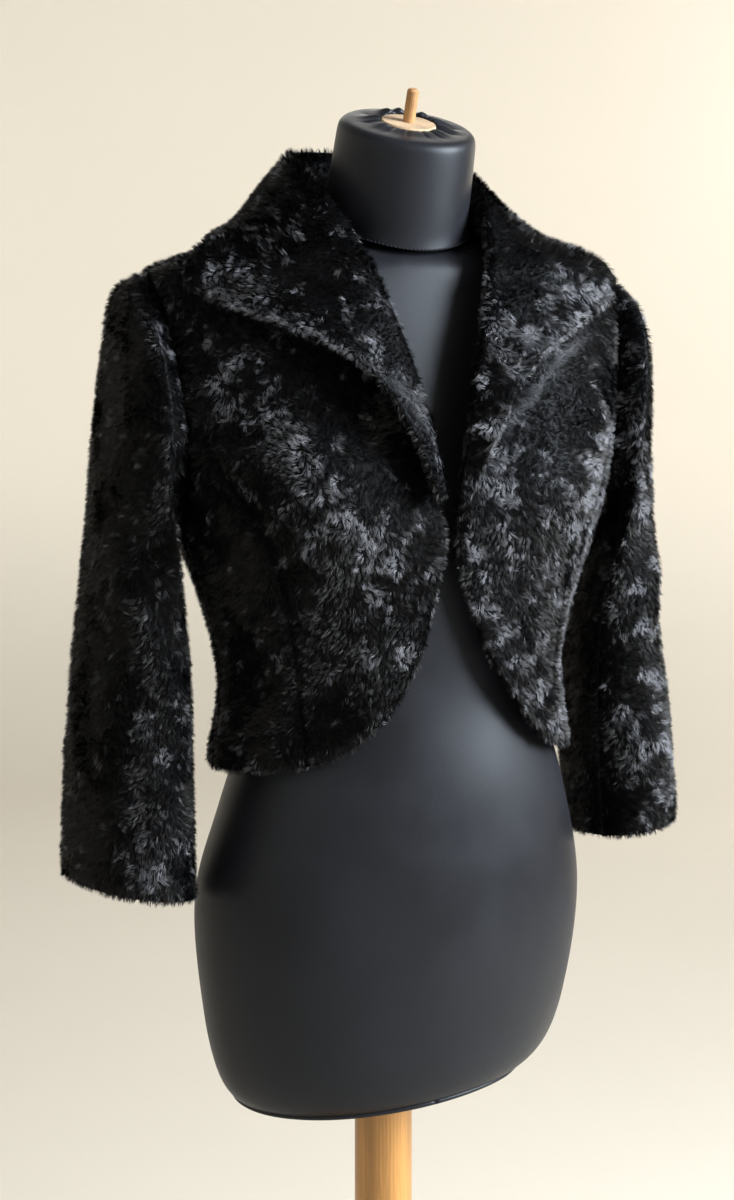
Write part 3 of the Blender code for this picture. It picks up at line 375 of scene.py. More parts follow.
def new_group(name, inputs, outputs):
    """Shader node group with named sockets."""
    tree = bpy.data.node_groups.new(name, "ShaderNodeTree")
    for label, kind, value in inputs:
        socket = tree.interface.new_socket(name=label, in_out="INPUT", socket_type=kind)
        socket.default_value = value
    for label, kind in outputs:
        tree.interface.new_socket(name=label, in_out="OUTPUT", socket_type=kind)
    return tree, tree.nodes.new("NodeGroupInput"), tree.nodes.new("NodeGroupOutput")


def noise_node(tree, vector, scale, detail):
    """Noise texture on given coordinates."""
    noise = tree.nodes.new("ShaderNodeTexNoise")
    noise.inputs["Scale"].default_value = scale
    noise.inputs["Detail"].default_value = detail
    tree.links.new(vector, noise.inputs["Vector"])
    return noise


def mix_colour(tree, share, first, second):
    """Colour between two sockets or plain colours."""
    mix = tree.nodes.new("ShaderNodeMix")
    mix.data_type = "RGBA"
    tree.links.new(share, mix.inputs["Factor"])
    for label, value in (("A", first), ("B", second)):
        socket = next(s for s in mix.inputs if s.name == label and s.type == "RGBA")
        if isinstance(value, bpy.types.NodeSocket):
            tree.links.new(value, socket)
        else:
            socket.default_value = (*value, 1.0)
    return next(s for s in mix.outputs if s.type == "RGBA")


def map_range(tree, value, low, high, to_low, to_high):
    """Value moved smoothly from one range to another."""
    node = tree.nodes.new("ShaderNodeMapRange")
    node.interpolation_type = "SMOOTHSTEP"
    for label, number in (("From Min", low), ("From Max", high), ("To Min", to_low), ("To Max", to_high)):
        node.inputs[label].default_value = number
    tree.links.new(value, node.inputs["Value"])
    return node.outputs["Result"]


def stretched(tree, vector, scale):
    """Coordinates scaled along each axis."""
    mapping = tree.nodes.new("ShaderNodeMapping")
    mapping.inputs["Scale"].default_value = scale
    tree.links.new(vector, mapping.inputs["Vector"])
    return mapping.outputs["Vector"]


def math_node(tree, operation, first, second):
    """Sum, product or other operation of two sockets or numbers."""
    node = tree.nodes.new("ShaderNodeMath")
    node.operation = operation
    for socket, value in zip(node.inputs, (first, second)):
        if isinstance(value, bpy.types.NodeSocket):
            tree.links.new(value, socket)
        else:
            socket.default_value = value
    return node.outputs[0]


def wood_grain_group():
    """Fine grain that runs along the given Z: its colour and its height."""
    tree, given, made = new_group(
        "wood_grain",
        (("Light", "NodeSocketColor", (0.6, 0.4, 0.2, 1.0)),
         ("Dark", "NodeSocketColor", (0.3, 0.2, 0.1, 1.0)),
         ("Place", "NodeSocketVector", (0.0, 0.0, 0.0))),
        (("Color", "NodeSocketColor"), ("Height", "NodeSocketFloat")))
    broad = noise_node(tree, stretched(tree, given.outputs["Place"], BROAD_GRAIN), 2.0, 4.0)
    fine = noise_node(tree, stretched(tree, given.outputs["Place"], FINE_GRAIN), 2.4, 3.0)
    both = math_node(tree, "ADD", math_node(tree, "MULTIPLY", broad.outputs["Fac"], 0.62),
                     math_node(tree, "MULTIPLY", fine.outputs["Fac"], 0.38))
    share = map_range(tree, both, 0.36, 0.66, 0.0, 1.0)
    colour = mix_colour(tree, share, given.outputs["Dark"], given.outputs["Light"])
    tree.links.new(colour, made.inputs["Color"])
    tree.links.new(fine.outputs["Fac"], made.inputs["Height"])
    return tree


def knit_group():
    """Fine jersey knit: its loops, with a slow unevenness."""
    tree, given, made = new_group(
        "jersey_knit",
        (("Light", "NodeSocketColor", (0.03, 0.03, 0.03, 1.0)),
         ("Dark", "NodeSocketColor", (0.01, 0.01, 0.01, 1.0))),
        (("Color", "NodeSocketColor"), ("Height", "NodeSocketFloat"), ("Roughness", "NodeSocketFloat")))
    place = tree.nodes.new("ShaderNodeTexCoord")
    loops = noise_node(tree, place.outputs["Object"], LOOP_SCALE, 2.0)
    slow = noise_node(tree, place.outputs["Object"], UNEVEN_SCALE, 5.0)
    share = math_node(tree, "MULTIPLY", map_range(tree, slow.outputs["Fac"], 0.3, 0.7, 0.45, 1.0),
                      map_range(tree, loops.outputs["Fac"], 0.25, 0.75, 0.45, 1.0))
    colour = mix_colour(tree, share, given.outputs["Dark"], given.outputs["Light"])
    tree.links.new(colour, made.inputs["Color"])
    tree.links.new(loops.outputs["Fac"], made.inputs["Height"])
    tree.links.new(map_range(tree, slow.outputs["Fac"], 0.3, 0.7, 0.38, 0.47), made.inputs["Roughness"])
    return tree


def get_group(name, build):
    """Node group by name, built at its first use."""
    return bpy.data.node_groups.get(name) or build()


def new_material(name):
    """Material with its shader and tree."""
    material = bpy.data.materials.new(name)
    material.use_nodes = True
    tree = material.node_tree
    return material, tree, tree.nodes["Principled BSDF"]


def place_group(tree, group, **colours):
    """Group node in a material with its own colours."""
    node = tree.nodes.new("ShaderNodeGroup")
    node.node_tree = group
    for label, colour in colours.items():
        node.inputs[label].default_value = (*colour, 1.0)
    return node


def add_bump(tree, shader, height, strength, distance):
    """Bump from a height socket."""
    bump = tree.nodes.new("ShaderNodeBump")
    bump.inputs["Strength"].default_value = strength
    bump.inputs["Distance"].default_value = distance
    tree.links.new(height, bump.inputs["Height"])
    tree.links.new(bump.outputs["Normal"], shader.inputs["Normal"])


def scaled(colour, factor):
    """Colour made lighter or darker."""
    return tuple(factor * part for part in colour)


def wood_material(name, colour, roughness, coat, lying=False):
    """Straight-grained wood, bare or under varnish, with its grain upright or lying along X."""
    material, tree, shader = new_material(name)
    group = get_group("wood_grain", wood_grain_group)
    grain = place_group(tree, group, Light=scaled(colour, 1.12), Dark=scaled(colour, 0.70))
    place = tree.nodes.new("ShaderNodeTexCoord")
    turned = tree.nodes.new("ShaderNodeMapping")
    turned.inputs["Rotation"].default_value = (0.0, 0.5 * math.pi if lying else 0.0, 0.0)
    tree.links.new(place.outputs["Object"], turned.inputs["Vector"])
    tree.links.new(turned.outputs["Vector"], grain.inputs["Place"])
    tree.links.new(grain.outputs["Color"], shader.inputs["Base Color"])
    shader.inputs["Roughness"].default_value = roughness
    shader.inputs["Coat Weight"].default_value = coat
    shader.inputs["Coat Roughness"].default_value = 0.22
    add_bump(tree, shader, grain.outputs["Height"], 0.25, 0.0004)
    return material


def knit_material(name, colour, specular):
    """Stretch cover, backing cloth or thread."""
    material, tree, shader = new_material(name)
    group = get_group("jersey_knit", knit_group)
    knit = place_group(tree, group, Light=scaled(colour, 1.35), Dark=scaled(colour, 0.55))
    tree.links.new(knit.outputs["Color"], shader.inputs["Base Color"])
    tree.links.new(knit.outputs["Roughness"], shader.inputs["Roughness"])
    shader.inputs["Specular IOR Level"].default_value = specular
    # The reflections are tinted cool, a painted colour of the cool window light.
    shader.inputs["Specular Tint"].default_value = (0.80, 0.89, 1.0, 1.0)
    add_bump(tree, shader, knit.outputs["Height"], 0.30, 0.0003)
    return material


def crushed_sheen_pile_material(plush):
    """Strands crushed flat, their shine painted into the colour as a cool grey, with a little gloss."""
    material, tree, shader = new_material("crushed_sheen_pile")
    tone = tree.nodes.new("ShaderNodeAttribute")
    tone.attribute_name = "pile_sheen_tone"
    colour = mix_colour(tree, tone.outputs["Fac"], tuple(plush.dark), tuple(plush.light))
    tree.links.new(colour, shader.inputs["Base Color"])
    shader.inputs["Roughness"].default_value = 0.45
    shader.inputs["Specular IOR Level"].default_value = 0.18
    return material


def standing_pile_material(plush):
    """Strands that stand, nearly black."""
    material, tree, shader = new_material("standing_pile")
    place = tree.nodes.new("ShaderNodeTexCoord")
    noise = noise_node(tree, place.outputs["Object"], 160.0, 3.0)
    colour = mix_colour(tree, noise.outputs["Fac"], scaled(plush.dark, 0.5), scaled(plush.dark, 2.0))
    tree.links.new(colour, shader.inputs["Base Color"])
    shader.inputs["Roughness"].default_value = 0.65
    shader.inputs["Specular IOR Level"].default_value = 0.0
    return material


def get_material(name, build, *given):
    """Material by name, built at its first use."""
    return bpy.data.materials.get(name) or build(*given)


def add_piece(name, mesh, materials):
    """Object of a mesh that rides on the body."""
    item = bpy.data.objects.new(name, mesh)
    bpy.context.scene.collection.objects.link(item)
    item.data.materials.clear()
    for material in materials:
        item.data.materials.append(material)
    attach(item, BODY)
    return item


def welded(node):
    """Bmesh of a CAD node with split corners joined and triangles paired."""
    work = bmesh.new()
    work.from_mesh(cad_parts[node].data)
    bmesh.ops.remove_doubles(work, verts=work.verts, dist=WELD)
    bmesh.ops.join_triangles(work, faces=work.faces, angle_face_threshold=math.radians(30.0),
                             angle_shape_threshold=math.radians(50.0))
    work.normal_update()
    return work


def smoothed_mesh(item):
    """Mesh of an object with its modifiers applied."""
    depsgraph = bpy.context.evaluated_depsgraph_get()
    return bpy.data.meshes.new_from_object(item.evaluated_get(depsgraph))


def subdivided(name, work, levels, through_corners):
    """Mesh of a bmesh after smooth subdivision, which may be made to run through its corners."""
    mesh = bpy.data.meshes.new(name)
    work.to_mesh(mesh)
    work.free()
    item = bpy.data.objects.new(name, mesh)
    bpy.context.scene.collection.objects.link(item)
    modifier = item.modifiers.new("smooth", "SUBSURF")
    modifier.levels = 1
    wanted = mesh_points(mesh)[0]
    for _ in range(2 if through_corners else 0):
        trial = smoothed_mesh(item)
        reached = mesh_points(trial)[0][:len(wanted)]
        set_points(mesh, mesh_points(mesh)[0] + 0.8 * (wanted - reached))
        bpy.data.meshes.remove(trial)
    modifier.levels = levels
    done = smoothed_mesh(item)
    bpy.data.objects.remove(item, do_unlink=True)
    bpy.data.meshes.remove(mesh)
    done.polygons.foreach_set("use_smooth", [True] * len(done.polygons))
    return done


def unit(vectors):
    """Vectors of length one along the last axis."""
    return vectors / np.maximum(np.linalg.norm(vectors, axis=-1, keepdims=True), 1e-9)


def mesh_points(mesh):
    """Vertex places and normals as arrays."""
    points = np.empty(len(mesh.vertices) * 3, np.float32)
    normals = np.empty_like(points)
    mesh.vertices.foreach_get("co", points)
    mesh.vertex_normals.foreach_get("vector", normals)
    return points.reshape(-1, 3).astype(float), normals.reshape(-1, 3).astype(float)


def set_points(mesh, points):
    """Move the vertices of a mesh."""
    mesh.vertices.foreach_set("co", points.astype(np.float32).ravel())
    mesh.update()


def slow_waves(points, wavelength, seed, count=14):
    """Smooth random field made of waves in random directions, about one unit high."""
    draw = np.random.default_rng(seed)
    direction = unit(draw.normal(size=(count, 3)))
    length = wavelength * draw.uniform(0.7, 1.4, count)
    phase = draw.uniform(0.0, 2.0 * math.pi, count)
    turns = points @ (direction * (2.0 * math.pi / length)[:, None]).T
    return np.sin(turns + phase).sum(axis=1) * math.sqrt(2.0 / count)


def neighbour_tree(node):
    """Search tree of every other cloth solid."""
    points, faces = [], []
    for other in CLOTH_NODES:
        if other == node:
            continue
        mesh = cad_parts[other].data
        shift = len(points)
        points.extend(vertex.co.copy() for vertex in mesh.vertices)
        faces.extend(tuple(shift + n for n in polygon.vertices) for polygon in mesh.polygons)
    return BVHTree.FromPolygons(points, faces)


def sleeve_middle(side, point):
    """Nearest place on the middle line of a sleeve."""
    head = Vector((side * SLEEVE_HEAD[0] + JACKET_SHIFT, SLEEVE_HEAD[1], SLEEVE_HEAD[2]))
    cuff = Vector((side * SLEEVE_CUFF[0] + JACKET_SHIFT, SLEEVE_CUFF[1], SLEEVE_CUFF[2]))
    line = cuff - head
    share = min(max((point - head).dot(line) / line.length_squared, 0.0), 1.0)
    return head + line * share


def body_middle(point):
    """Place inside the body from which a panel's outer side is seen from behind."""
    return Vector((BODY_CENTRE.x, BODY_CENTRE.y, min(point.z, BODY_CENTRE.z)))


def mark_faces(work, node, kind, side):
    """Tell the outer skin, inner skin, free rims and seam rims of a wall apart."""
    others = neighbour_tree(node)
    for face in work.faces:
        middle = face.calc_center_median()
        near, normal, _, distance = others.find_nearest(middle)
        if near is not None and distance < SEAM_REACH and normal.dot(face.normal) < SEAM_FACING:
            face.material_index = SEAM_RIM
            continue
        face.material_index = OUTER
        if kind == "collar":
            continue
        centre = sleeve_middle(side, middle) if kind == "sleeve" else body_middle(middle)
        facing = face.normal.dot((middle - centre).normalized())
        if facing < -FACING_LIMIT:
            face.material_index = INNER
        elif facing < FACING_LIMIT:
            face.material_index = FREE_RIM


def draw_in(work, outer_depth, rim_depth):
    """Move the outer skin and the free rims into the wall, which leaves room for the pile."""
    moves = []
    for vertex in work.verts:
        move = Vector()
        for kind, depth in ((OUTER, outer_depth), (FREE_RIM, rim_depth)):
            normals = [face.normal for face in vertex.link_faces if face.material_index == kind]
            if normals:
                move -= sum(normals, Vector()).normalized() * depth
        moves.append(move)
    for vertex, move in zip(work.verts, moves):
        vertex.co += move


def crease_rims(work):
    """Keep the borders of the rims sharp under subdivision."""
    layer = work.edges.layers.float.new("crease_edge")
    for edge in work.edges:
        kinds = {face.material_index for face in edge.link_faces}
        if len(kinds) > 1 and kinds & {FREE_RIM, SEAM_RIM}:
            edge[layer] = 1.0


def crease_bends(work, least, crease):
    """Keep the edges that bend more than an angle sharp under subdivision."""
    layer = work.edges.layers.float.get("crease_edge") or work.edges.layers.float.new("crease_edge")
    for edge in work.edges:
        if len(edge.link_faces) == 2 and edge.calc_face_angle() > least:
            edge[layer] = max(edge[layer], crease)


def smooth_step(share):
    """Share from 0 to 1 that starts and ends gently."""
    return share * share * (3.0 - 2.0 * share)


def segment_place(points, start, end):
    """Share along a segment of the place nearest to each point, and the distance from it."""
    line = end - start
    share = np.clip((points - start) @ line / (line @ line), 0.0, 1.0)
    return share, np.linalg.norm(points - start - share[:, None] * line, axis=1)


def press_creases(mesh):
    """Press the hand-placed creases into a backing."""
    points, normals = mesh_points(mesh)
    depth = np.zeros(len(points))
    for x0, y0, z0, x1, y1, z1, width, deep in CREASES:
        share, away = segment_place(points, np.array([x0, y0, z0]), np.array([x1, y1, z1]))
        depth += deep * np.exp(-(away / width) ** 2) * np.sin(math.pi * np.clip(share, 0.04, 0.96))
    set_points(mesh, points - normals * depth[:, None])


def line_place(points, line):
    """Nearest place of each point on a line of corners, how many corners along it is, and how far away."""
    best = np.full(len(points), 1.0e3)
    place, along = np.zeros_like(points), np.zeros(len(points))
    for n, (start, end) in enumerate(zip(line[:-1], line[1:])):
        share, away = segment_place(points, start, end)
        closer = away < best
        best = np.where(closer, away, best)
        place[closer] = start + share[closer, None] * (end - start)
        along[closer] = n + share[closer]
    return place, along, best


def trim_collar(mesh, side):
    """Draw the lower edge of the collar and lapel towards its roll."""
    points, _ = mesh_points(mesh)
    mirror = np.array([side, 1.0, 1.0])
    shift = np.array([JACKET_SHIFT, 0.0, 0.0])
    table = np.array(COLLAR_LINES)
    roll, _, to_roll = line_place(points, table[:, 0:3] * mirror + shift)
    _, along, to_edge = line_place(points, table[:, 3:6] * mirror + shift)
    across = np.clip(to_roll / np.maximum(to_roll + to_edge, 1e-6) / TRIM_RAMP, 0.0, 1.0)
    trim = np.interp(along, np.arange(len(table)), table[:, 6]) * smooth_step(across)
    set_points(mesh, points + (roll - points) * trim[:, None])


def press_collar(mesh, side):
    """Lay the edge of the collar down on the shoulder."""
    points, _ = mesh_points(mesh)
    x, y, z = COLLAR_ON_SHOULDER
    away = np.linalg.norm(points - np.array([side * x + JACKET_SHIFT, y, z]), axis=1) / COLLAR_PRESS_REACH
    points[:, 2] -= COLLAR_PRESS_DEPTH * np.exp(-away ** 2)
    set_points(mesh, points)


def make_backing(node, kind, side):
    """Backing mesh of a panel on the form of its solid."""
    plush = bpy.context.scene.plush_settings
    work = welded(node)
    mark_faces(work, node, kind, side)
    pile_room = WALL - plush.backing
    if kind == "collar":
        draw_in(work, RIM_ROOM * pile_room, 0.0)
    else:
        draw_in(work, pile_room, RIM_ROOM * pile_room)
    work.normal_update()
    crease_rims(work)
    if kind == "collar":
        crease_bends(work, BEND_ANGLE, COLLAR_CREASE)
    mesh = subdivided(node + "_backing", work, 1, True)
    if kind == "collar":
        trim_collar(mesh, side)
        press_collar(mesh, side)
    else:
        press_creases(mesh)
    return mesh


def face_kinds(mesh):
    """Kind of wall face of every polygon."""
    kinds = np.empty(len(mesh.polygons), np.int32)
    mesh.polygons.foreach_get("material_index", kinds)
    return kinds


def root_places(mesh, kinds, density, draw):
    """Roots of the strands over the outer skin and the free rims, with normals."""
    mesh.calc_loop_triangles()
    count = len(mesh.loop_triangles)
    corners = np.empty(count * 3, np.int32)
    owner = np.empty(count, np.int32)
    mesh.loop_triangles.foreach_get("vertices", corners)
    mesh.loop_triangles.foreach_get("polygon_index", owner)
    corners = corners.reshape(-1, 3)[np.isin(kinds[owner], (OUTER, FREE_RIM))]
    points, normals = mesh_points(mesh)
    triangle = points[corners]
    one, other = triangle[:, 1] - triangle[:, 0], triangle[:, 2] - triangle[:, 0]
    area = 0.5 * np.linalg.norm(np.cross(one, other), axis=1)
    total = int(area.sum() * density)
    pick = (np.arange(total) + draw.uniform(0.0, 1.0, total)) / total
    chosen = np.minimum(np.searchsorted(np.cumsum(area) / area.sum(), pick), len(area) - 1)
    first = np.sqrt(draw.uniform(0.0, 1.0, total))
    second = draw.uniform(0.0, 1.0, total)
    weights = np.stack([1.0 - first, first * (1.0 - second), first * second], axis=1)[..., None]
    roots = (triangle[chosen] * weights).sum(axis=1)
    return roots, unit((normals[corners[chosen]] * weights).sum(axis=1))


def seam_nearness(mesh, kinds, roots):
    """How close each root is to a seam: 1 on it, 0 from a tuft's width away."""
    rims = [polygon.center for polygon, kind in zip(mesh.polygons, kinds) if kind == SEAM_RIM]
    if not rims:
        return np.zeros(len(roots))
    tree = KDTree(len(rims))
    for n, centre in enumerate(rims):
        tree.insert(centre, n)
    tree.balance()
    distance = np.array([tree.find(root)[2] for root in roots])
    start, width = SEAM_PILE
    return np.clip(1.0 - (distance - start) / width, 0.0, 1.0)


def nap_lay(roots, normals, kind, side):
    """Direction in the skin that the pile is brushed in, before it was crushed."""
    way = np.zeros_like(roots)
    way[:, 2] = -1.0
    if kind == "collar":
        way[:, 0] = 6.0 * (roots[:, 0] - JACKET_SHIFT)
        way[:, 1] = 4.0 * (roots[:, 1] + 0.02)
    else:
        way[:, 0] = 0.25 * side
    along = way - normals * np.sum(way * normals, axis=1, keepdims=True)
    return unit(along + 1e-6)


def photo_place(points):
    """Photo pixel at which the camera sees each point."""
    sine, cosine = math.sin(CAMERA_AZIMUTH), math.cos(CAMERA_AZIMUTH)
    right = points[:, 0] * cosine - points[:, 1] * sine + CAMERA_SIDE_STEP
    ahead = points[:, 0] * sine + points[:, 1] * cosine + CAMERA_DISTANCE
    high = points[:, 2] - CAMERA_HEIGHT
    depth = ahead * math.cos(CAMERA_PITCH) - high * math.sin(CAMERA_PITCH)
    rise = ahead * math.sin(CAMERA_PITCH) + high * math.cos(CAMERA_PITCH)
    focus = PHOTO_SIZE[1] * CAMERA_LENS / CAMERA_SENSOR
    across = 0.5 * PHOTO_SIZE[0] + focus * right / depth
    down = 0.5 * PHOTO_SIZE[1] - focus * rise / depth
    return np.stack([across, down], axis=1)


def patch_cover(place, patches):
    """How strongly soft round patches cover each photo pixel."""
    cover = np.zeros(len(place))
    for x, y, reach, strength in patches:
        away = np.linalg.norm(place - np.array([x, y]), axis=1) / reach
        cover = np.maximum(cover, strength * np.exp(-away ** 2))
    return cover


def fringe_highlight_share(place):
    """Painted highlight on the edges of the collar and lapel, which catch the light."""
    nearest = np.minimum.reduce([line_place(place, np.array(edge, float))[2] for edge in EDGE_FRINGES])
    return FRINGE_STRENGTH * np.exp(-(nearest / FRINGE_REACH) ** 2)


def clear_of_collar_shadow(roots):
    """How far each root is clear of the collar's painted shadow: 0 under or beside the collar, 1 from a
    finger's width away.
    """
    trees = [mesh_tree(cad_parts[node].data) for node in ("collar_right", "collar_left")]
    nearest = np.full(len(roots), 2.0 * COLLAR_SHADE)
    for tree in trees:
        for n, root in enumerate(roots):
            found = tree.find_nearest(root, COLLAR_SHADE)
            if found[3] is not None:
                nearest[n] = min(nearest[n], found[3])
    return np.clip((nearest / COLLAR_SHADE - COLLAR_DARK) / (1.0 - COLLAR_DARK), 0.0, 1.0)


def crushed_and_sheen_share(roots, normals):
    """How flat the nap is crushed and how much painted sheen it gets, from 0 where it stands black to 1 where
    it lies with a painted shine.
    """
    seen = np.clip((normals @ PHOTO_SIDE - SEEN_FROM) / SEEN_RAMP, 0.0, 1.0)
    place = photo_place(roots)
    waves = np.clip(0.5 + 0.6 * slow_waves(roots, *BROAD_NAP), 0.0, 1.0)
    level = (UNSEEN_CRUSHING - SEEN_LOSS * seen) * waves
    standing = seen * patch_cover(place, STANDING_NAP_IN_SHADE)
    level = level * (1.0 - standing) - STANDING_DROP * standing
    level = np.maximum(level, seen * patch_cover(place, CRUSHED_NAP_AND_SHEEN))
    broken = sum(height * slow_waves(roots, wavelength, seed) for wavelength, height, seed in NAP_WAVES)
    share = smooth_step(np.clip((level + broken - LYING_FROM) / LYING_RAMP, 0.0, 1.0))
    # Add the painted highlight on the collar and lapel edges.
    return np.maximum(share, seen * fringe_highlight_share(place))


def tuft_owners(roots, size, draw):
    """Strand that leads the tuft of every strand."""
    leaders = draw.choice(len(roots), max(1, len(roots) // size), replace=False)
    tree = KDTree(len(leaders))
    for n, leader in enumerate(leaders):
        tree.insert(roots[leader], n)
    tree.balance()
    return leaders[np.array([tree.find(root)[1] for root in roots])]


def tuft_ways(roots, normals, kind, side, crushed, draw):
    """Lean along the skin and rise from it of a tuft led from each root."""
    lay = nap_lay(roots, normals, kind, side)
    across = np.cross(normals, lay)
    turn = 0.6 * slow_waves(roots, *LEAN_WAVES) + (0.35 + 0.8 * crushed) * slow_waves(roots, *CURL_WAVES)
    turn = turn + draw.normal(0.0, LEAN_SPREAD, len(roots))
    along = lay * np.cos(turn)[:, None] + across * np.sin(turn)[:, None]
    rise = np.radians(STANDING_RISE - CRUSHED_DROP * crushed + draw.normal(0.0, RISE_SPREAD, len(roots)))
    if kind == "collar":
        rise = rise + ROLL_RISE * np.clip(normals[:, 2], 0.0, 1.0) ** 3
    return along, np.clip(rise, *RISE_LIMITS)


def pile_points(roots, normals, kind, side, seams, plush, draw):
    """Three points of each strand, the painted sheen at each point, and the painted sheen of each strand's
    tuft, which grows with its crushing.
    """
    count = len(roots)
    owner = tuft_owners(roots, plush.tuft, draw)
    # The crushing also sets how much painted sheen each strand gets.
    crushed = crushed_and_sheen_share(roots, normals) * (1.0 - 0.5 * seams)
    # Painted shadow of the collar: the nap near it stands and loses its painted sheen.
    if kind == "body":
        crushed = crushed * clear_of_collar_shadow(roots)
    along, rise = tuft_ways(roots, normals, kind, side, crushed, draw)
    # Painted sheen of each tuft: the share of the light grey in its strands' colour.
    light = np.clip(crushed * draw.uniform(0.70, 1.15, count), 0.0, 1.0)[owner]
    along = along[owner] + 0.22 * draw.normal(size=roots.shape)
    along = unit(along - normals * np.sum(along * normals, axis=1, keepdims=True))
    rise = (rise[owner] + draw.normal(0.0, 0.10, count))[:, None]
    length = plush.pile_length * draw.uniform(0.8, 1.2, count) * (1.0 - 0.25 * seams)
    stray = draw.uniform(0.0, 1.0, count) > KEPT_STRANDS
    length = np.where(stray, 1.25 * length, length)[:, None]
    tips = roots + (along * np.cos(rise) + normals * np.sin(rise)) * length
    pull = np.where(stray, 0.1, draw.uniform(0.2, 0.5, count))[:, None]
    tips = tips + (tips[owner] - tips) * pull
    roll = draw.normal(0.0, 0.30, count)[:, None]
    across = unit(np.cross(tips - roots, normals))
    across = unit(across * np.cos(roll) + normals * np.sin(roll))
    half = across * 0.5 * plush.strand_width * draw.uniform(0.75, 1.25, count)[:, None]
    sunk = roots - normals * ROOT_DEPTH
    points = np.stack([sunk - half, sunk + half, tips], axis=1)
    tone = (light * draw.uniform(0.8, 1.1, count))[:, None] * np.array(TONE_ALONG)
    return points, np.clip(tone, 0.0, 1.0), light


def strand_mesh(name, points, tone, light):
    """Joined mesh of strands, each a needle of one triangle."""
    count = len(points)
    mesh = bpy.data.meshes.new(name)
    mesh.vertices.add(3 * count)
    mesh.loops.add(3 * count)
    mesh.polygons.add(count)
    mesh.vertices.foreach_set("co", points.astype(np.float32).ravel())
    mesh.loops.foreach_set("vertex_index", np.arange(3 * count, dtype=np.int32))
    mesh.polygons.foreach_set("loop_start", np.arange(0, 3 * count, 3, dtype=np.int32))
    mesh.polygons.foreach_set("material_index", (light < STANDING_LIGHT).astype(np.int32))
    attribute = mesh.attributes.new("pile_sheen_tone", "FLOAT", "POINT")
    attribute.data.foreach_set("value", tone.astype(np.float32).ravel())
    mesh.update()
    return mesh


def make_pile(node, mesh, kind, side, order):
    """Pile of a panel, sown on its backing."""
    plush = bpy.context.scene.plush_settings
    draw = np.random.default_rng(plush.seed + 31 * order)
    kinds = face_kinds(mesh)
    density = plush.density * 1.0e4 * 1.0
    roots, normals = root_places(mesh, kinds, density, draw)
    seams = seam_nearness(mesh, kinds, roots)
    pile = strand_mesh(node + "_pile", *pile_points(roots, normals, kind, side, seams, plush, draw))
    materials = [get_material("crushed_sheen_pile", crushed_sheen_pile_material, plush),
                 get_material("standing_pile", standing_pile_material, plush)]
    return add_piece(node + "_pile", pile, materials)


def make_panel(row, order):
    """Backing and pile of one panel."""
    node, kind, side, width, length, area = row
    mesh = make_backing(node, kind, side)
    pile = make_pile(node, mesh, kind, side, order)
    kinds = face_kinds(mesh)
    mesh.polygons.foreach_set("material_index", (kinds == INNER).astype(np.int32))
    plush = bpy.context.scene.plush_settings
    outside = get_material("matted_roots", knit_material, "matted_roots", scaled(plush.dark, 0.8),
                           ROOTS_GLOSS)
    inside = get_material("knit_backing", knit_material, "knit_backing", INSIDE_COLOUR, INSIDE_GLOSS)
    backing = add_piece(node + "_backing", mesh, [outside, inside])
    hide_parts(node)


def make_panels(kind):
    """Every panel of one kind."""
    for order, row in enumerate(PANELS):
        if row[1] == kind:
            make_panel(row, order)


def neck_axes():
    """Sideways, forward and up directions of the tilted neck top."""
    forward = Vector((0.0, -math.cos(NECK_TOP_TILT), -math.sin(NECK_TOP_TILT)))
    up = Vector((0.0, -math.sin(NECK_TOP_TILT), math.cos(NECK_TOP_TILT)))
    return Vector((1.0, 0.0, 0.0)), forward, up


def gather_neck_top(mesh, lip_height):
    """Gather the cover in uneven folds round the disc, with a lip that stands over its edge."""
    points, _ = mesh_points(mesh)
    sideways, forward, up = (np.array(axis) for axis in neck_axes())
    local = points - np.array(NECK_TOP_CENTRE)
    right, ahead, high = local @ sideways, local @ forward, local @ up
    reach = np.hypot(right, ahead)
    turn = np.degrees(np.arctan2(right, ahead))
    folds = np.zeros(len(points))
    for place, half_width, height in GATHERS:
        away = (turn - place + 180.0) % 360.0 - 180.0
        folds += height * np.exp(-(away / half_width) ** 2)
    on_top = np.clip((high + 0.003) / 0.003, 0.0, 1.0)
    lip, spread = (np.exp(-((reach - radius) / half) ** 2) * on_top for radius, half in (LIP_RING, FOLD_RING))
    backward = 0.5 - 0.5 * np.cos(np.radians(turn))
    rise = lip_height * (0.65 + 0.35 * backward) * lip + folds * spread
    inward = LIP_LEAN * lip * np.clip(rise / 0.003, 0.0, 1.5)
    outward = (right[:, None] * sideways + ahead[:, None] * forward) / np.maximum(reach, 1e-6)[:, None]
    set_points(mesh, points + rise[:, None] * up - inward[:, None] * outward)


def smooth_chest(mesh):
    """Even out the top of the torso cover just under the neck seam."""
    work = bmesh.new()
    work.from_mesh(mesh)
    top = max(vert.co.z for vert in work.verts)
    upper = [vert for vert in work.verts if vert.co.z > top - CHEST_SMOOTHING and not vert.is_boundary]
    for _ in range(CHEST_SMOOTHING_ROUNDS):
        bmesh.ops.smooth_vert(work, verts=upper, factor=0.5,
                              use_axis_x=True, use_axis_y=True, use_axis_z=True)
    work.to_mesh(mesh)
    work.free()


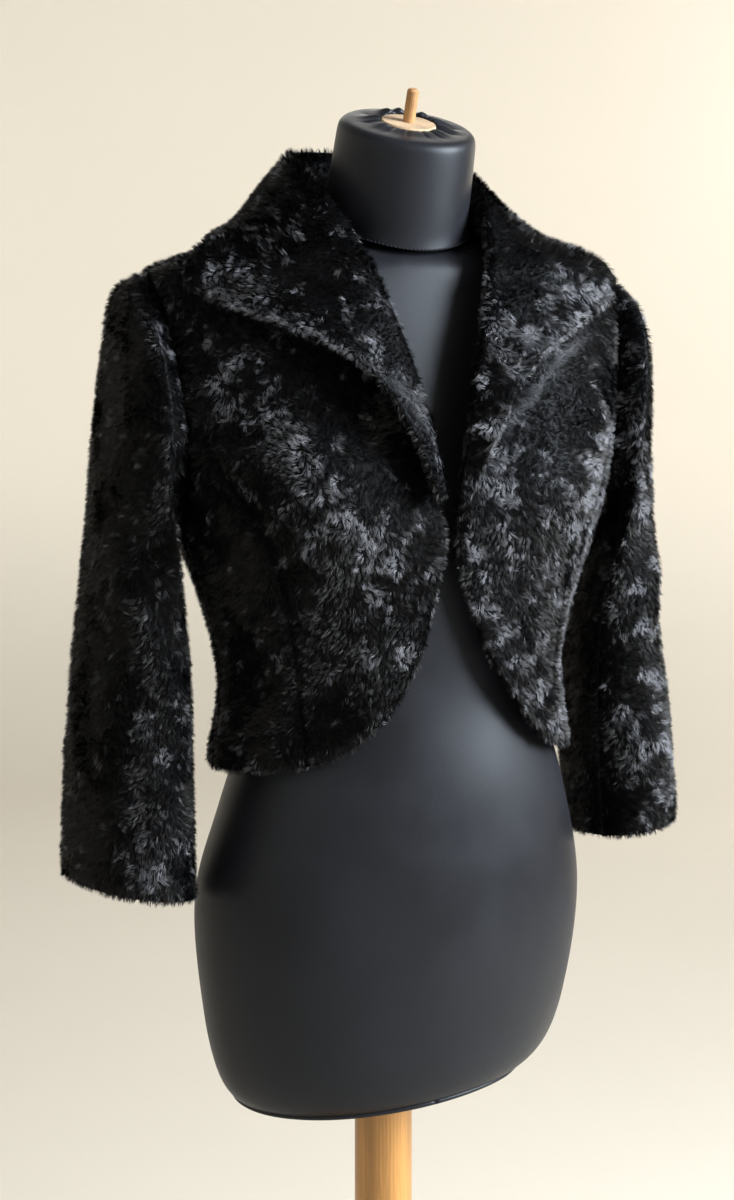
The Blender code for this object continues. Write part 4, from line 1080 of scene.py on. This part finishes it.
def flow_at_seam(mesh):
    """Let the neck flare a little at its seam, so that it flows into the chest."""
    points, _ = mesh_points(mesh)
    local = points - np.array([0.0, NECK_SEAM["middle"], NECK_SEAM["level"]])
    reach = np.hypot(local[:, 0], local[:, 1])[:, None]
    ahead = -local[:, 1] / np.maximum(reach[:, 0], 1e-6)
    lift = np.where(ahead > 0.0, NECK_SEAM["front_lift"], NECK_SEAM["back_lift"]) * ahead ** 2
    away = np.abs(local[:, 2] - lift)
    flare = SEAM_FLARE * np.clip(1.0 - away / SEAM_FLARE_HEIGHT, 0.0, 1.0) ** 2
    outward = np.concatenate([local[:, :2] / np.maximum(reach, 1e-6), np.zeros_like(reach)], axis=1)
    near = reach[:, 0] < 1.25 * NECK_SEAM["half_width"]
    set_points(mesh, points + outward * (flare * near)[:, None])


def neck_seam_place(turn, out):
    """Place on the neck seam at a turn from the front, moved out."""
    depth = (NECK_SEAM["middle"] - NECK_SEAM["front"] if math.cos(turn) > 0.0
             else NECK_SEAM["back"] - NECK_SEAM["middle"])
    lift = NECK_SEAM["front_lift"] if math.cos(turn) > 0.0 else NECK_SEAM["back_lift"]
    wide = NECK_SEAM["half_width"] + out
    return Vector((wide * math.sin(turn), NECK_SEAM["middle"] - (depth + out) * math.cos(turn),
                   NECK_SEAM["level"] + lift * math.cos(turn) ** 2))


def tube_rings(path, radii, sides):
    """Vertices and faces of a round tube through a path, closed at both ends."""
    points, faces = [], []
    up = Vector((0.0, 0.0, 1.0))
    for n, (place, radius) in enumerate(zip(path, radii)):
        ahead = path[min(n + 1, len(path) - 1)] - path[max(n - 1, 0)]
        wide = ahead.cross(up).normalized()
        tall = wide.cross(ahead).normalized()
        for s in range(sides):
            angle = 2.0 * math.pi * s / sides
            points.append(place + radius * (math.cos(angle) * wide + math.sin(angle) * tall))
    for n in range(len(path) - 1):
        for s in range(sides):
            t = (s + 1) % sides
            faces.append((n * sides + s, n * sides + t, (n + 1) * sides + t, (n + 1) * sides + s))
    faces.append(tuple(range(sides))[::-1])
    last = (len(path) - 1) * sides
    faces.append(tuple(range(last, last + sides)))
    return points, faces


def joined_tubes(name, paths, sides):
    """One mesh of several tubes, each a path and its radii."""
    points, faces = [], []
    for path, radii in paths:
        more, extra = tube_rings(path, radii, sides)
        shift = len(points)
        points.extend(more)
        faces.extend(tuple(shift + n for n in face) for face in extra)
    mesh = bpy.data.meshes.new(name)
    mesh.from_pydata(points, [], faces)
    mesh.polygons.foreach_set("use_smooth", [True] * len(mesh.polygons))
    mesh.update()
    return mesh


def stitch_paths(count):
    """Short stitches along the neck seam."""
    above = Vector((0.0, 0.0, STITCHES_ABOVE_SEAM))
    paths = []
    for n in range(count):
        path = [neck_seam_place(2.0 * math.pi * (n + share) / count, SEAM_FLARE + lift) + above
                for share, lift in zip(STITCH_SHARES, STITCH_LIFTS)]
        paths.append((path, STITCH_RADII))
    return paths


def bottom_edge_path(tree, count):
    """Closed run of places round the bottom edge of the form."""
    path = []
    for n in range(count + 1):
        turn = 2.0 * math.pi * n / count
        way = Vector((math.sin(turn), -math.cos(turn), 0.0))
        start = way * 0.4
        reach = tree.ray_cast(Vector((start.x, start.y, BOTTOM_LEVEL)), -way)[0]
        level = BOTTOM_LEVEL + BOTTOM_SLOPE * reach.x
        path.append(tree.ray_cast(Vector((start.x, start.y, level)), -way)[0])
    return path


def mesh_tree(mesh):
    """Search tree of a mesh."""
    return BVHTree.FromPolygons([vertex.co for vertex in mesh.vertices],
                                [tuple(polygon.vertices) for polygon in mesh.polygons])


def cover_material(form):
    """Stretch cover of the torso and neck."""
    return get_material("form_cover", knit_material, "form_cover", tuple(form.cloth), COVER_GLOSS)


class BLAZER_OT_body(bpy.types.Operator):
    """Fronts, side fronts and backs."""

    bl_idname = "blazer.body"
    bl_label = "Body panels"

    def execute(self, context):
        """Make the body panels."""
        make_panels("body")
        return {"FINISHED"}


class BLAZER_OT_sleeves(bpy.types.Operator):
    """Top and under sleeves."""

    bl_idname = "blazer.sleeves"
    bl_label = "Sleeves"

    def execute(self, context):
        """Make the sleeves."""
        make_panels("sleeve")
        return {"FINISHED"}


class BLAZER_OT_collar(bpy.types.Operator):
    """Both halves of the collar."""

    bl_idname = "blazer.collar"
    bl_label = "Collar"

    def execute(self, context):
        """Make the collar."""
        make_panels("collar")
        return {"FINISHED"}


class BLAZER_OT_form(bpy.types.Operator):
    """Covered torso of the form, with the piping at its bottom edge."""

    bl_idname = "blazer.form"
    bl_label = "Form torso"

    def execute(self, context):
        """Make the torso and its piping."""
        form = context.scene.form_settings
        cover = cover_material(form)
        work = welded("form_torso")
        crease_bends(work, BEND_ANGLE, FORM_CREASE)
        mesh = subdivided("torso_cover", work, 2, False)
        smooth_chest(mesh)
        torso = add_piece("torso_cover", mesh, [cover])
        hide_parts("form_torso")
        path = bottom_edge_path(mesh_tree(mesh), PIPING_POINTS)
        edge = joined_tubes("bottom_piping", [(path, [form.piping] * len(path))], PIPING_SIDES)
        add_piece("bottom_piping", edge, [cover])
        return {"FINISHED"}


class BLAZER_OT_neck(bpy.types.Operator):
    """Covered neck of the form, gathered round the disc, with the stitches of its seam."""

    bl_idname = "blazer.neck"
    bl_label = "Form neck"

    def execute(self, context):
        """Make the neck and its stitches."""
        form = context.scene.form_settings
        cover = cover_material(form)
        thread = get_material("seam_thread", knit_material, "seam_thread", tuple(form.thread), THREAD_GLOSS)
        work = welded("form_neck")
        crease_bends(work, BEND_ANGLE, FORM_CREASE)
        mesh = subdivided("neck_cover", work, 3, False)
        gather_neck_top(mesh, form.lip)
        flow_at_seam(mesh)
        neck = add_piece("neck_cover", mesh, [cover])
        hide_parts("form_neck")
        stitches = joined_tubes("neck_stitches", stitch_paths(form.stitches), STITCH_SIDES)
        add_piece("neck_stitches", stitches, [thread])
        return {"FINISHED"}


class BLAZER_OT_wood(bpy.types.Operator):
    """Disc, peg, pole and base of wood."""

    bl_idname = "blazer.wood"
    bl_label = "Wooden pieces"

    def execute(self, context):
        """Finish the wooden solids."""
        wood = context.scene.wood_settings
        finishes = {
            "neck_disc": wood_material("bare_wood", tuple(wood.disc), *BARE_WOOD),
            "neck_peg": wood_material("peg_wood", tuple(wood.peg), *BARE_WOOD),
            "pole": wood_material("varnished_wood", tuple(wood.pole), *VARNISHED_WOOD),
            "stand_base": wood_material("varnished_board", tuple(wood.pole), *VARNISHED_WOOD, lying=True),
        }
        for node, material in finishes.items():
            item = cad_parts[node]
            item.data.materials.clear()
            item.data.materials.append(material)
        return {"FINISHED"}


def add_area_light(name, place, target, size, power, colour):
    """Soft light aimed at a place."""
    data = bpy.data.lights.new(name, "AREA")
    data.shape = "RECTANGLE"
    data.size, data.size_y = size
    data.energy = power
    data.color = colour
    light = bpy.data.objects.new(name, data)
    light.location = place
    light.rotation_euler = (Vector(target) - Vector(place)).to_track_quat("-Z", "Y").to_euler()
    bpy.context.scene.collection.objects.link(light)


def stage_material(colour):
    """Pale matt floor and wall with a faint unevenness; the floor is a little darker."""
    material, tree, shader = new_material("pale_stage")
    place = tree.nodes.new("ShaderNodeTexCoord")
    noise = noise_node(tree, place.outputs["Object"], 3.0, 4.0)
    height = tree.nodes.new("ShaderNodeSeparateXYZ")
    tree.links.new(place.outputs["Object"], height.inputs["Vector"])
    share = map_range(tree, height.outputs["Z"], 0.0, 0.9, 0.0, 0.9)
    share = math_node(tree, "ADD", share, math_node(tree, "MULTIPLY", noise.outputs["Fac"], 0.1))
    tone = mix_colour(tree, share, scaled(colour, 0.72), scaled(colour, 1.02))
    tree.links.new(tone, shader.inputs["Base Color"])
    shader.inputs["Roughness"].default_value = 0.85
    return material


def sweep_mesh():
    """Floor that turns up into a backdrop all round."""
    flat = SWEEP_RADIUS - SWEEP_BEND
    rows = [(0.02, 0.0), (flat, 0.0)]
    for step in range(1, SWEEP_STEPS + 1):
        angle = 0.5 * math.pi * step / SWEEP_STEPS
        rows.append((flat + SWEEP_BEND * math.sin(angle), SWEEP_BEND * (1.0 - math.cos(angle))))
    rows.append((SWEEP_RADIUS, SWEEP_HEIGHT))
    points, faces = [], []
    for reach, level in rows:
        for n in range(SWEEP_CORNERS):
            turn = 2.0 * math.pi * n / SWEEP_CORNERS
            points.append((reach * math.cos(turn), reach * math.sin(turn), level))
    for row in range(len(rows) - 1):
        low, high = row * SWEEP_CORNERS, (row + 1) * SWEEP_CORNERS
        for n in range(SWEEP_CORNERS):
            m = (n + 1) % SWEEP_CORNERS
            faces.append((low + n, low + m, high + m, high + n))
    faces.append(tuple(range(SWEEP_CORNERS))[::-1])
    mesh = bpy.data.meshes.new("pale_sweep")
    mesh.from_pydata(points, [], faces)
    mesh.polygons.foreach_set("use_smooth", [True] * len(mesh.polygons))
    return mesh


class BLAZER_OT_stage(bpy.types.Operator):
    """Camera, light, floor and backdrop."""

    bl_idname = "blazer.stage"
    bl_label = "Stage"

    def execute(self, context):
        """Set the stage."""
        scene = context.scene
        stage = scene.stage_settings
        sweep = bpy.data.objects.new("pale_sweep", sweep_mesh())
        sweep.data.materials.append(stage_material(tuple(stage.pale)))
        scene.collection.objects.link(sweep)
        scene.view_settings.view_transform = "Standard"
        self.add_camera(scene)
        self.add_lights(scene, stage)
        return {"FINISHED"}

    def add_camera(self, scene):
        """Camera at the photo's viewing angle."""
        data = bpy.data.cameras.new("camera")
        data.lens = CAMERA_LENS
        data.sensor_width = CAMERA_SENSOR
        camera = bpy.data.objects.new("camera", data)
        sine, cosine = math.sin(CAMERA_AZIMUTH), math.cos(CAMERA_AZIMUTH)
        camera.location = (-CAMERA_DISTANCE * sine - CAMERA_SIDE_STEP * cosine,
                           -CAMERA_DISTANCE * cosine + CAMERA_SIDE_STEP * sine, CAMERA_HEIGHT)
        camera.rotation_euler = Euler((0.5 * math.pi - CAMERA_PITCH, 0.0, -CAMERA_AZIMUTH))
        scene.collection.objects.link(camera)
        scene.camera = camera

    def add_lights(self, scene, stage):
        """Soft window-like key from the right, a weak fill, a wash on the wall, and light from all round."""
        for name, place, target, size, share, colour in LIGHTS:
            add_area_light(name, place, target, size, share * stage.key_power, colour)
        world = bpy.data.worlds.new("pale_room")
        world.use_nodes = True
        sky = world.node_tree.nodes["Background"]
        sky.inputs["Color"].default_value = (*WARM, 1.0)
        sky.inputs["Strength"].default_value = stage.fill
        scene.world = world


class VIEW3D_PT_blazer(bpy.types.Panel):
    """Panel that lists the pieces and their settings."""

    bl_label = "Plush Blazer"
    bl_idname = "VIEW3D_PT_blazer"
    bl_space_type = "VIEW_3D"
    bl_region_type = "UI"
    bl_category = "Blazer"

    def draw(self, context):
        """List the settings and the operators."""
        scene = context.scene
        for group in (scene.plush_settings, scene.form_settings, scene.wood_settings, scene.stage_settings):
            box = self.layout.box()
            for name in group.__annotations__:
                box.prop(group, name)
        for operator in OPERATORS:
            self.layout.operator(operator.bl_idname)


OPERATORS = (BLAZER_OT_stage, BLAZER_OT_body, BLAZER_OT_sleeves, BLAZER_OT_collar, BLAZER_OT_form,
             BLAZER_OT_neck, BLAZER_OT_wood)
CLASSES = (PlushSettings, FormSettings, WoodSettings, StageSettings, *OPERATORS, VIEW3D_PT_blazer)


def register():
    """Register the classes and hang the settings on the scene."""
    for made in CLASSES:
        bpy.utils.register_class(made)
    bpy.types.Scene.plush_settings = PointerProperty(type=PlushSettings)
    bpy.types.Scene.form_settings = PointerProperty(type=FormSettings)
    bpy.types.Scene.wood_settings = PointerProperty(type=WoodSettings)
    bpy.types.Scene.stage_settings = PointerProperty(type=StageSettings)


def unregister():
    """Take the settings and classes away again."""
    for name in ("plush_settings", "form_settings", "wood_settings", "stage_settings"):
        delattr(bpy.types.Scene, name)
    for made in reversed(CLASSES):
        bpy.utils.unregister_class(made)


def main():
    """Make every piece in order."""
    register()
    for operator in OPERATORS:
        space, name = operator.bl_idname.split(".")
        getattr(getattr(bpy.ops, space), name)()


if __name__ == "__main__":
    main()
